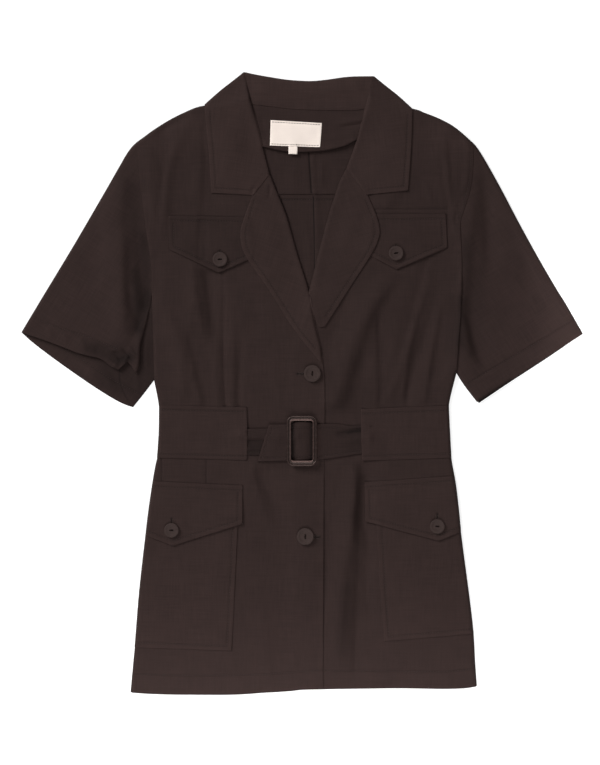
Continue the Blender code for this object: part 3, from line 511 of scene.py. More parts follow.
class Panel:
    """One layer of cloth in its place. Each edge starts where the one before it ends."""

    def __init__(
        self, edges, sewn=(), folds=(), thick=CLOTH, loft=0.0, give=4.0, step=2.3, grain=0.0, shade=0.0
    ):
        starts = [pixels[-1] for kind, *pixels in [edges[-1], *edges[:-1]]]
        edges = [(kind, curve(seen(start, *pixels))) for start, (kind, *pixels) in zip(starts, edges)]
        outline = np.vstack([points[:-1] for kind, points in edges])
        turn = np.roll(outline, -1, axis=0)
        if np.sum(outline[:, 0] * turn[:, 1] - outline[:, 1] * turn[:, 0]) < 0.0:
            edges = [(kind, points[::-1]) for kind, points in reversed(edges)]
            outline = np.vstack([points[:-1] for kind, points in edges])
        self.edges = edges
        self.outline = outline
        self.sewn = list(sewn)
        self.folds = list(folds)
        self.thick = thick
        self.loft = loft
        self.step = step
        self.grain = math.radians(grain)
        # shade is painted shade over the whole panel, and painted light where it is below 0.
        self.shade = shade
        self.settle(give)

    def settle(self, give):
        """Lower the panel onto the bed, then add its top to the bed."""
        low = self.outline.min(axis=0) - WINDOW_MARGIN
        high = self.outline.max(axis=0) + WINDOW_MARGIN
        rows = slice(*np.searchsorted(BED_Y, (low[1], high[1])))
        columns = slice(*np.searchsorted(BED_X, (low[0], high[0])))
        x, y = bed_x[rows, columns], bed_y[rows, columns]
        inside = within(self.outline, x, y)
        floor = laid[rows, columns] + GAP
        under = np.maximum(floor, self.loft)
        share = np.maximum(blurred(inside * 1.0, give), 1e-4)
        rest = under
        for _ in range(SETTLE_PASSES):
            soft = blurred(np.where(inside, rest, 0.0), give) / share
            rest = np.where(inside, np.maximum(under, soft), soft)
        fine_share = np.maximum(blurred(inside * 1.0, LAST_BLUR), 1e-4)
        fine = blurred(np.where(inside, rest, 0.0), LAST_BLUR) / fine_share
        self.rest = np.zeros(laid.shape)
        self.rest[rows, columns] = np.where(fine_share > 0.01, fine, rest)
        self.under = np.zeros(laid.shape)
        self.under[rows, columns] = under
        self.floor = np.zeros(laid.shape)
        self.floor[rows, columns] = floor
        deep = inside & (blurred(inside * 1.0, 3.0) > 0.99)
        rim = inside & ~deep
        patch = laid[rows, columns]
        patch[deep] = np.maximum(patch[deep], self.top(x[deep], y[deep], edges=False))
        patch[rim] = np.maximum(patch[rim], self.top(x[rim], y[rim]))

    def top(self, x, y, edges=True):
        """Height of the panel's upper face."""
        z = sampled(self.rest, x, y) + self.thick + RIPPLE * sampled(ripples, x, y)
        for fold in self.folds:
            z = z + fold.lift(x, y)
        for line in self.sewn:
            z = z - line.depth * np.exp(-((nearest(line.points, x, y)[0] / line.width) ** 2))
        if edges:
            z = z - self.edge_drop(x, y, z)
        return np.maximum(z, sampled(self.floor, x, y) + THINNEST)

    def painted_shading(self, x, y):
        """Painted shade above 0, as in a sewn groove; painted light below 0, and a paler tone near a hem.
        """
        value = np.zeros(np.shape(x))
        for kind, points in self.edges:
            if kind == "hem":
                value = np.minimum(value, HEM_TONE * eased((HEM_WIDTH - nearest(points, x, y)[0]) / 2.0))
        for line in self.sewn:
            value = value + line.dark * np.exp(-((nearest(line.points, x, y)[0] / line.width) ** 2))
        return value + self.shade

    def edge_drop(self, x, y, z):
        """How far the edges round off."""
        drop = np.zeros(np.shape(x))
        for kind, points in self.edges:
            reach, lowest, fall = EDGE_KINDS[kind]
            share = np.clip(nearest(points, x, y)[0] / reach, 0.0, 1.0)
            bend = 1.0 - np.sqrt(1.0 - (1.0 - share) ** 2)
            if kind == "flush":
                bend = 1.0 - eased(share)
            if lowest == "layer below":
                lowest = sampled(self.floor, x, y) + (self.thick if kind == "armhole" else THINNEST)
            depth = fall if lowest is None else np.maximum(z - lowest, 0.0)
            drop = np.maximum(drop, depth * bend)
        return drop


print("panels of", CLOTH, "mm cloth,", GAP, "mm apart")

# %% [markdown]
# ## From panel to mesh
#
# The mesh needs fine rows along edges, sewn lines and pressed folds, and an even spread of points
# elsewhere. A list of such points goes to Blender's Delaunay function, which joins them into triangles
# inside the outline. The same points are used twice, for the upper and the lower face, and a rim closes
# the sheet.

# %% Panel to mesh
RINGS = (0.3, 0.9, 1.9, 3.4)
GROOVE_ROWS = (-1.4, -0.6, 0.0, 0.6, 1.4)
CRISP_ROWS = (-4.0, -2.2, -1.0, 0.0, 1.0, 2.2, 4.0)
TABLE_GAP = 0.02


def panel_places(panel):
    """Points of the mesh in plan: the outline first, then everything inside it."""
    closed = np.vstack([panel.outline, panel.outline[:1]])
    run = np.roll(panel.outline, -1, axis=0) - np.roll(panel.outline, 1, axis=0)
    run /= np.hypot(*run.T)[:, None]
    inward = np.column_stack([-run[:, 1], run[:, 0]])
    rows = []
    for depth in RINGS:
        ring = panel.outline + inward * depth
        rows.append(ring[nearest(closed, *ring.T)[0] > 0.9 * depth])
    lines = [(line.points, GROOVE_ROWS) for line in panel.sewn]
    lines += [(resampled(fold.points, 2.0), CRISP_ROWS) for fold in panel.folds if fold.crisp]
    for points, offsets in lines:
        rows += [beside(points, offset) for offset in offsets]
    low, high = panel.outline.min(axis=0), panel.outline.max(axis=0)
    x, y = np.meshgrid(np.arange(low[0], high[0], panel.step), np.arange(low[1], high[1], panel.step))
    lattice = np.column_stack([x.ravel(), y.ravel()])
    keep = nearest(closed, *lattice.T)[0] > RINGS[-1] + 0.4 * panel.step
    for points, offsets in lines:
        keep &= nearest(points, *lattice.T)[0] > offsets[-1] + 0.4 * panel.step
    rows.append(lattice[keep])
    inner = np.vstack(rows)
    inner = inner[within(panel.outline, *inner.T)]
    inner = inner[nearest(closed, *inner.T)[0] > 0.2]
    cells = np.unique(np.round(inner / 0.5), axis=0, return_index=True)[1]
    return np.vstack([panel.outline, inner[np.sort(cells)]])


def panel_mesh(panel):
    """Vertices, faces and plan places of a closed thin sheet."""
    places = panel_places(panel)
    count = len(panel.outline)
    border = [(index, (index + 1) % count) for index in range(count)]
    flat = geometry.delaunay_2d_cdt([Vector(place) for place in places], border, [], 1, 1e-5)
    plan = np.array([tuple(place) for place in flat[0]])
    corners = np.array(flat[2])
    first, second, third = (plan[corners[:, index]] for index in range(3))
    turned = np.cross(second - first, third - first) < 0.0
    corners[turned] = corners[turned][:, ::-1]
    top = np.maximum(panel.top(*plan.T), TABLE_GAP + THINNEST)
    bottom = np.maximum(sampled(panel.under, *plan.T), top - panel.thick)
    bottom = np.maximum(np.minimum(bottom, top - THINNEST), TABLE_GAP)
    vertices = np.vstack([np.column_stack([plan, top]), np.column_stack([plan, bottom])])
    sides = np.vstack([corners[:, [0, 1]], corners[:, [1, 2]], corners[:, [2, 0]]])
    pairs = {(int(a), int(b)) for a, b in sides}
    rim = [(a, b) for a, b in sides.tolist() if (b, a) not in pairs]
    size = len(plan)
    faces = corners.tolist() + (corners[:, ::-1] + size).tolist()
    faces += [(b, a, a + size, b + size) for a, b in rim]
    painted_shading = panel.painted_shading(*plan.T)
    return vertices, faces, np.concatenate([painted_shading, painted_shading])


def piece_from(name, vertices, faces, material, grain=None, painted_shading=None):
    """A mesh object at the origin, from points in mm, with a UV map in metres along the grain."""
    mesh = bpy.data.meshes.new(name)
    mesh.from_pydata((np.asarray(vertices) * MM).tolist(), [], faces)
    mesh.shade_smooth()
    layer = mesh.uv_layers.new(name="grain")
    corner = np.zeros(len(mesh.loops), int)
    mesh.loops.foreach_get("vertex_index", corner)
    turn = np.zeros(len(vertices)) if grain is None else np.asarray(grain)
    x, y = np.asarray(vertices)[:, 0] * MM, np.asarray(vertices)[:, 1] * MM
    u = x * np.cos(turn) + y * np.sin(turn)
    v = y * np.cos(turn) - x * np.sin(turn)
    layer.data.foreach_set("uv", np.column_stack([u[corner], v[corner]]).ravel())
    # A mesh attribute of painted shade and painted light, one value at each point.
    values = mesh.attributes.new("painted_shading", "FLOAT", "POINT")
    values.data.foreach_set("value", np.zeros(len(vertices)) if painted_shading is None else painted_shading)
    mesh.materials.append(material)
    piece = bpy.data.objects.new(name, mesh)
    scene.collection.objects.link(piece)
    return piece


print("mesh rows at", RINGS, "mm from each edge")

# %% [markdown]
# ## Topstitching
#
# Thread that shows is what makes a seam look sewn. One stitch is modelled by hand from a small sphere,
# pulled long and flattened, and then copied along every sewn line, turned and tilted with the cloth.
# Each piece of cloth gets one mesh with all of its stitches.

# %% One stitch
STITCH_LENGTH, STITCH_WIDTH, STITCH_HEIGHT, STITCH_PITCH = 2.4, 0.55, 0.4, 3.1
bpy.ops.object.select_all(action="DESELECT")
bpy.ops.mesh.primitive_uv_sphere_add(segments=6, ring_count=4, radius=0.5)
pattern = bpy.context.object
bpy.ops.object.mode_set(mode="EDIT")
bpy.ops.mesh.select_all(action="SELECT")
bpy.ops.transform.rotate(value=math.pi / 2, orient_axis="Y", center_override=(0.0, 0.0, 0.0))
bpy.ops.transform.resize(value=(STITCH_LENGTH, STITCH_WIDTH, STITCH_HEIGHT))
bpy.ops.object.mode_set(mode="OBJECT")
stitch_points = np.array([tuple(vertex.co) for vertex in pattern.data.vertices])
stitch_faces = [tuple(face.vertices) for face in pattern.data.polygons]
bpy.data.objects.remove(pattern)
print("a stitch has", len(stitch_faces), "faces")

# %% Copies of the stitch
STITCH_RISE = 0.12


def stitch_copies(places, along, rise):
    """Points and faces of one stitch at each place, along a direction, tilted by a rise."""
    ahead = np.column_stack([along, rise])
    ahead /= np.linalg.norm(ahead, axis=1)[:, None]
    across = np.column_stack([-along[:, 1], along[:, 0], np.zeros(len(along))])
    up = np.cross(ahead, across)
    base = stitch_points[None]
    points = places[:, None] + base[..., :1] * ahead[:, None] + base[..., 1:2] * across[:, None]
    points = points + base[..., 2:] * up[:, None]
    count = len(stitch_points)
    faces = []
    for first in range(0, count * len(places), count):
        faces += [tuple(corner + first for corner in face) for face in stitch_faces]
    return points.reshape(-1, 3), faces


def stitches_on(panel):
    """All visible stitches of one panel."""
    points, faces = np.zeros((0, 3)), []
    for line in panel.sewn:
        if line.thread:
            places = resampled(line.points, STITCH_PITCH)
            middle = (places[1:] + places[:-1]) / 2.0
            run = np.diff(places, axis=0)
            run /= np.hypot(*run.T)[:, None]
            reach = STITCH_LENGTH / 2.0
            rise = panel.top(*(middle + run * reach).T) - panel.top(*(middle - run * reach).T)
            height = panel.top(*middle.T) + STITCH_RISE
            more, more_faces = stitch_copies(np.column_stack([middle, height]), run, rise / STITCH_LENGTH)
            faces += [tuple(corner + len(points) for corner in face) for face in more_faces]
            points = np.vstack([points, more])
    return points, faces


print("stitches every", STITCH_PITCH, "mm, raised", STITCH_RISE, "mm")

# %% Pieces of cloth from panels


def cut_size(panels):
    """Width and length along the grain of a cut that is as wide as its panels side by side, in metres."""
    widths, lengths = [], []
    for panel in panels:
        x, y = panel.outline.T
        across = x * math.cos(panel.grain) + y * math.sin(panel.grain)
        down = y * math.cos(panel.grain) - x * math.sin(panel.grain)
        widths.append(np.ptp(across))
        lengths.append(np.ptp(down))
    return sum(widths) * MM, max(lengths) * MM


def sew(node, panels, material=cotton):
    """One piece of cloth and its stitches, from one panel or several, in place of a CAD node."""
    vertices, faces, grain, painted_shading = np.zeros((0, 3)), [], np.zeros(0), np.zeros(0)
    thread_points, thread_faces = np.zeros((0, 3)), []
    for panel in panels:
        more, more_faces, more_painted_shading = panel_mesh(panel)
        faces += [tuple(corner + len(vertices) for corner in face) for face in more_faces]
        vertices = np.vstack([vertices, more])
        grain = np.concatenate([grain, np.full(len(more), panel.grain)])
        painted_shading = np.concatenate([painted_shading, more_painted_shading])
        more, more_faces = stitches_on(panel)
        thread_faces += [tuple(corner + len(thread_points) for corner in face) for face in more_faces]
        thread_points = np.vstack([thread_points, more])
    piece = piece_from(f"cloth_{node}", vertices, faces, material, grain, painted_shading)
    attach(piece, "root")
    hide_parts(node)
    if thread_faces:
        stitching = piece_from(f"topstitch_{node}", thread_points, thread_faces, thread_cotton)
        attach(stitching, "root")
    cut = cut_size(panels)


print("pieces of cloth are named after their CAD nodes")

# %% [markdown]
# ## The back and the inside of the neck
#
# The collar's outer leaf passes behind the neck, so it lies on the table first and the back lies on it.
# The back has a yoke, a seam down the middle and a stitched yoke seam, which show through the open
# neck. On the yoke lie the facing, with its free lower edge, and the collar's stand.

# %% Collar behind the neck, and the back
collar_behind = Panel(
    [
        ("hidden", (275, 83.5), (303, 85), (338, 84), (372, 80)),
        ("hidden", (408, 109)),
        ("hidden", (360, 128), (302, 136), (250, 127), (209, 107)),
        ("hidden", (247, 78)),
    ],
    step=4.0,
)
back_left = Panel(
    [
        ("hidden", (315, 191)),
        ("hidden", (317.4, 259), (316.4, 400), (315, 688.5)),
        ("hem", (251, 691.2), (179, 692), (135.6, 690)),
        ("hidden", (138.6, 647), (151.4, 535), (157.4, 481), (161.2, 459), (162.6, 406), (157, 384)),
        ("hidden", (153.6, 302), (153.4, 271), (149.6, 242), (145.6, 215), (143, 191)),
    ],
    sewn=[Sewn((146, 199.4), (311, 199.4), dark=1.2)],
    folds=[
        Fold([(306, 205), (309, 262), (310, 330)], 5.0, 0.7),
        Fold([(288, 200), (296, 250), (305, 300)], 9.0, 0.6),
    ],
    step=3.2,
    shade=0.4,
)
back_right = Panel(
    [
        ("hidden", (467.8, 191)),
        ("hidden", (458.6, 221), (460, 261), (459.4, 302), (455, 376)),
        ("hidden", (446, 406), (447, 458), (450.4, 476), (457, 531), (469, 633.4), (473.4, 684)),
        ("hem", (442, 687.4), (381, 686.7), (312.4, 687)),
        ("seam", (313.6, 400), (313.9, 259), (313, 212), (312.2, 191)),
    ],
    sewn=[
        Sewn((314, 199.4), (464, 199.4), dark=1.2),
        Sewn((313.2, 197), (314, 230), (314.6, 300), depth=0.6, dark=2.2, thread=False),
    ],
    folds=[
        Fold([(326, 202), (322, 250), (318, 290)], 7.0, 0.6),
        Fold([(317, 196), (317.6, 230), (318, 280)], 4.0, 0.8, fade=(0.05, 0.3)),
    ],
    step=3.2,
    shade=0.4,
)
back_yoke = Panel(
    [
        ("hidden", (159, 132), (181, 119), (205, 113.4), (247, 103), (302, 107.6)),
        ("hidden", (369, 105), (413, 114.6), (434, 119), (454, 131.4), (471, 147)),
        ("hidden", (470, 180), (467.6, 194.3)),
        ("seam", (143, 194.3)),
        ("hidden", (140, 180), (142, 147)),
    ],
    sewn=[Sewn((308.6, 150), (311.4, 193), depth=0.6, dark=2.2, thread=False)],
    folds=[
        Fold([(312.6, 152), (313.4, 172), (315.4, 194)], 4.0, 0.8, fade=(0.05, 0.05)),
        Fold([(321.6, 156), (321, 176), (320, 194)], 4.5, 0.9, lean=0.3),
        Fold([(296, 158), (294, 176), (293, 194)], 8.0, 0.5),
    ],
    step=2.6,
    shade=0.35,
)
print("highest place on the bed so far:", round(laid.max(), 2), "mm")

# %% Facing, stand and label
facing = Panel(
    [
        ("hidden", (275, 105), (302, 107), (335, 108), (366, 106)),
        ("hidden", (357, 140)),
        ("hem", (343, 146.8), (320, 151.4), (288, 152), (261, 146.6)),
        ("hidden", (252, 102)),
    ],
    folds=[
        Fold([(262, 144), (288, 150), (320, 149), (343, 145), (357, 138)], 6.0, 0.9, fade=(0.03, 0.03)),
        Fold([(332, 123.6), (346, 122), (366, 120)], 6.0, 1.4, fade=(0.5, 0.02)),
        Fold([(334, 127.6), (346, 126.6), (362, 124)], 3.2, -1.3, fade=(0.5, 0.02), crisp=True),
        Fold([(326, 136), (343, 136), (360, 132)], 8.0, 0.8),
        Fold([(262, 112), (264, 128), (268, 144)], 6.0, -0.7),
    ],
    thick=1.3,
    loft=3.2,
    step=1.9,
    shade=0.15,
)
stand = Panel(
    [
        ("side", (244, 72), (248, 72.7), (256, 74.4), (272, 77.2), (288, 79.6), (304, 80.7), (314, 80.7),
         (328, 79.3), (344, 77), (356, 76.2), (374, 76)),
        ("hidden", (366, 109)),
        ("seam", (356, 110.6), (330, 111), (302, 110), (285, 108.8), (262, 106), (250, 104.4)),
        ("hidden", (241.8, 73.8)),
    ],
    sewn=[painted_band((252, 103), (285, 106), (330, 108), (362, 106), width=7.0, dark=0.6)],
    folds=[
        Fold([(250, 84), (302, 91), (368, 86)], 16.0, 1.6, fade=(0.1, 0.1)),
        Fold([(280, 103), (300, 105), (322, 105)], 9.0, -0.6),
        Fold([(322, 106), (338, 107), (356, 106)], 5.0, 0.8),
    ],
    thick=0.7,
    loft=2.2,
    step=1.9,
    shade=-0.9,
)
size_tab = Panel(
    [
        ("hidden", (297.6, 143.9)),
        ("hem", (297.3, 154.6)),
        ("hem", (288.5, 154.4)),
        ("hem", (288.6, 143.6)),
    ],
    thick=0.5,
    step=1.4,
)
neck_label = Panel(
    [
        ("hem", (322, 123.5)),
        ("hem", (320, 147.6)),
        ("hem", (270, 146)),
        ("hem", (270.7, 120.5)),
    ],
    sewn=[
        Sewn((271.9, 122.4), (320.4, 125.2), depth=0.12, width=0.6),
        Sewn((318.8, 146), (271.2, 144.4), depth=0.12, width=0.6),
    ],
    folds=[Fold([(296, 121), (295, 147)], 26.0, 0.35)],
    thick=0.5,
    step=1.6,
)
label_middle = seen((296, 134))
print("label lies at", round(sampled(laid, *label_middle.T)[0], 2), "mm")

# %% [markdown]
# ## Sleeves
#
# A flat sleeve is a tube: a lower layer on the table, and an upper layer that folds round to it at the
# long outer side and at the underarm. The left cuff has slipped: its upper hem lies higher, crumpled,
# and shows the inside behind it.

# %% Left sleeve
sleeve_left_low = Panel(
    [
        ("hidden", (129.4, 155.6), (22, 333)),
        ("hem", (32, 342), (48, 354.4), (64, 366), (80, 377.2), (96, 388), (112, 398), (124, 404.2),
         (133, 407.2)),
        ("side", (144, 393.4), (154.6, 379.4)),
        ("hidden", (155.6, 340), (155.2, 302)),
        ("hidden", (155, 271), (151, 242), (147, 215), (143, 180), (139.6, 146)),
    ],
    sewn=[
        Sewn((36, 328), (85, 361.6), (113, 380), (138, 393), smooth=True, dark=0.5),
        painted_band((30, 340), (60, 357), (88, 369), width=12.0, dark=-1.1),
        painted_band((88, 380), (112, 395), (130, 404), width=8.0, dark=-0.6),
        Sewn((119.4, 370), (121, 386), (130, 404), depth=0.4, thread=False, smooth=True),
    ],
    folds=[
        Fold([(128, 360), (136, 376), (139, 397)], 5.0, 1.0),
        Fold([(146, 330), (146, 352), (147, 378)], 5.0, 0.9),
        Fold([(96, 366), (106, 376), (114, 392)], 7.0, 0.8),
        Fold([(110, 372), (117, 382), (124, 398)], 5.0, -0.6),
    ],
    thick=1.2,
    # Painted shade on the inside of the sleeve.
    shade=1.1,
    grain=-32.0,
)
sleeve_left_top = Panel(
    [
        ("side", (136, 142.6), (127.8, 152), (118.4, 168), (100, 200), (72, 248), (43, 296), (21.2, 332.4)),
        ("hem", (46.6, 341), (61, 346.4), (76.2, 352.4), (88, 355.8), (101, 359), (110.7, 366),
         (118.6, 369.8)),
        ("hem", (123, 366), (127.6, 361.6)),
        ("hem", (131.6, 366), (136.6, 374)),
        ("turned", (140.2, 364), (141.4, 347), (144.4, 332), (149, 312), (151.4, 299)),
        ("hidden", (154.4, 271), (150.6, 242), (147.6, 215), (145, 180), (146, 136)),
    ],
    sewn=[
        Sewn((34, 317), (48, 323.6), (66, 330), (86, 336), (103, 342.6), (118, 349), smooth=True, dark=0.4),
        painted_band((92, 350), (106, 356), (118, 358), (129, 358), width=9.5, dark=1.3),
        painted_band((98, 346), (112, 347), (128, 345), width=5.0, dark=0.55),
        painted_band((120, 361), (129, 358), width=5.0, dark=0.7),
        painted_band((144, 236), (147, 258), (148, 285), (145, 306), width=7.5, dark=0.75),
        painted_band((136, 272), (137, 300), (138, 330), width=5.0, dark=0.9),
        painted_band((133, 186), (138, 230), (141, 280), (140, 325), width=13.0, dark=0.5, smooth=True),
        painted_band((150, 296), (146.4, 312), (142, 332), (138.6, 350), width=7.0, dark=0.7, smooth=True),
    ],
    folds=[
        Fold([(127, 165), (120, 212), (123, 290), (122, 345)], 18.0, 2.6, lean=-0.2, fade=(0.15, 0.1)),
        Fold([(131, 226), (123, 249), (122, 304), (128, 331)], 18.0, 2.05, lean=-0.32, fade=(0.18, 0.23)),
        Fold([(103, 191), (107, 216), (105, 277), (94, 305)], 18.0, 1.7, lean=0.2, fade=(0.2, 0.24)),
        Fold([(136, 202), (140, 257), (142, 275), (147, 317)], 18.0, -1.4, lean=0.47, fade=(0.29, 0.1)),
        Fold([(135, 183.9), (147, 219.4), (146, 260), (135, 290)], 18.0, -1.5, fade=(0.16, 0.2)),
        Fold([(155, 259), (146, 302), (141, 332), (131, 350)], 17.9, -1.4, lean=0.21, fade=(0.15, 0.17)),
        Fold([(148, 270), (148, 293), (143, 325), (130, 340)], 15.4, -1.3, lean=-0.33, fade=(0.17, 0.2)),
        Fold([(127.2, 278.1), (133, 310), (138, 325), (127, 349.6)], 6.8, -0.8, fade=(0.15, 0.15)),
        Fold([(117, 173), (98, 203), (81, 236), (60, 265)], 17.9, -1.2, lean=-0.45, fade=(0.11, 0.31)),
        Fold([(144, 318), (139, 340), (137, 368)], 5.0, 1.2, fade=(0.3, 0.1)),
        Fold([(106, 354), (115, 350), (127, 351)], 4.5, 1.5, lean=0.3),
        Fold([(121, 347), (127, 353), (134, 361)], 3.2, -1.4, crisp=True),
        Fold([(128, 346), (133, 352), (136, 361)], 3.0, 1.4, crisp=True),
        Fold([(105, 358), (111, 362), (118, 367)], 4.0, 1.7, fade=(0.4, 0.05)),
        Fold([(112, 352), (119, 357), (122, 364)], 3.4, -1.2, crisp=True),
        Fold([(124, 364), (127, 358), (131, 354)], 3.0, 1.2),
        Fold([(46, 326), (50, 332), (52, 341)], 5.0, 0.8),
        Fold([(62, 331), (66, 338), (67, 347)], 5.0, 0.8),
        Fold([(78, 336), (83, 343), (86, 353)], 5.0, 0.8),
        Fold([(95, 343), (97, 350), (98, 358)], 4.0, -0.6),
    ],
    loft=5.0,
    grain=-32.0,
)
sew("sleeve_left", [sleeve_left_low, sleeve_left_top])

# %% Right sleeve
sleeve_right_low = Panel(
    [
        ("hidden", (481, 158), (491.4, 176.6), (580.6, 335)),
        ("hem", (548, 357.4), (512, 380.8), (479, 403)),
        ("hidden", (466.4, 386), (459, 374.6)),
        ("hidden", (462.6, 302), (463, 261), (460.6, 221), (471.4, 186), (471.6, 147)),
    ],
    thick=1.2,
    # Painted shade, so that the lower layer shows as a dark line below the hem.
    shade=2.4,
    step=3.2,
    grain=33.0,
)
sleeve_right_top = Panel(
    [
        ("side", (473.8, 143.4), (480.3, 152), (489.8, 168), (503, 192), (519.8, 224), (537.4, 256),
         (556, 288), (566, 304), (583, 333.6)),
        ("hem", (548, 356.2), (512, 379.6), (477, 402)),
        ("side", (464, 385), (454, 369)),
        ("hidden", (458, 302), (458.6, 261), (456, 221), (464, 186), (465, 136)),
    ],
    sewn=[
        Sewn((573, 319.6), (541, 339.8), (503, 362), (468, 383), smooth=True),
        painted_band((466, 224), (467, 256), width=8.0, dark=0.45),
        painted_band((479, 399.6), (490, 392.6), (500, 386.2), (510, 379.8), width=1.8, dark=1.7),
        painted_band((465, 248), (465, 290), (463, 325), (463, 350), width=9.0, dark=0.6),
        painted_band((478, 272), (479, 345), width=9.0, dark=0.4),
        painted_band((462.4, 300), (460.6, 345), width=4.0, dark=0.6),
    ],
    folds=[
        Fold([(484, 162), (484, 180), (488, 222), (489, 285)], 15.9, -2.5, lean=0.22, fade=(0.2, 0.35)),
        Fold([(470, 190), (470, 225), (467, 250), (462, 301)], 18.0, 2.3, lean=-0.27, fade=(0.2, 0.2)),
        Fold([(461, 282), (464, 327), (467, 355), (482, 378)], 17.0, 2.4, lean=-0.32, fade=(0.21, 0.3)),
        Fold([(456, 304), (468, 317), (478, 352), (492, 375)], 18.0, -2.7, lean=0.47, fade=(0.25, 0.4)),
        Fold([(516, 245), (536, 292), (552, 316), (563, 335)], 18.0, -1.2, lean=-0.24, fade=(0.3, 0.3)),
        Fold([(505, 205), (530, 250), (554, 295), (572, 328)], 18.0, 1.4, lean=0.3, fade=(0.3, 0.2)),
    ],
    loft=4.2,
    grain=33.0,
)
sew("sleeve_right", [sleeve_right_low, sleeve_right_top])

# %% [markdown]
# ## Fronts, chest flaps and lapels
#
# The right front is laid first, because the left one laps over it. Each front carries soft pleats that
# end in the waist panel, and its inner edge turns back as a lapel: a leaf that rolls over at the roll
# line and lies on the chest. A pointed flap lies on each chest and runs under the lapel.

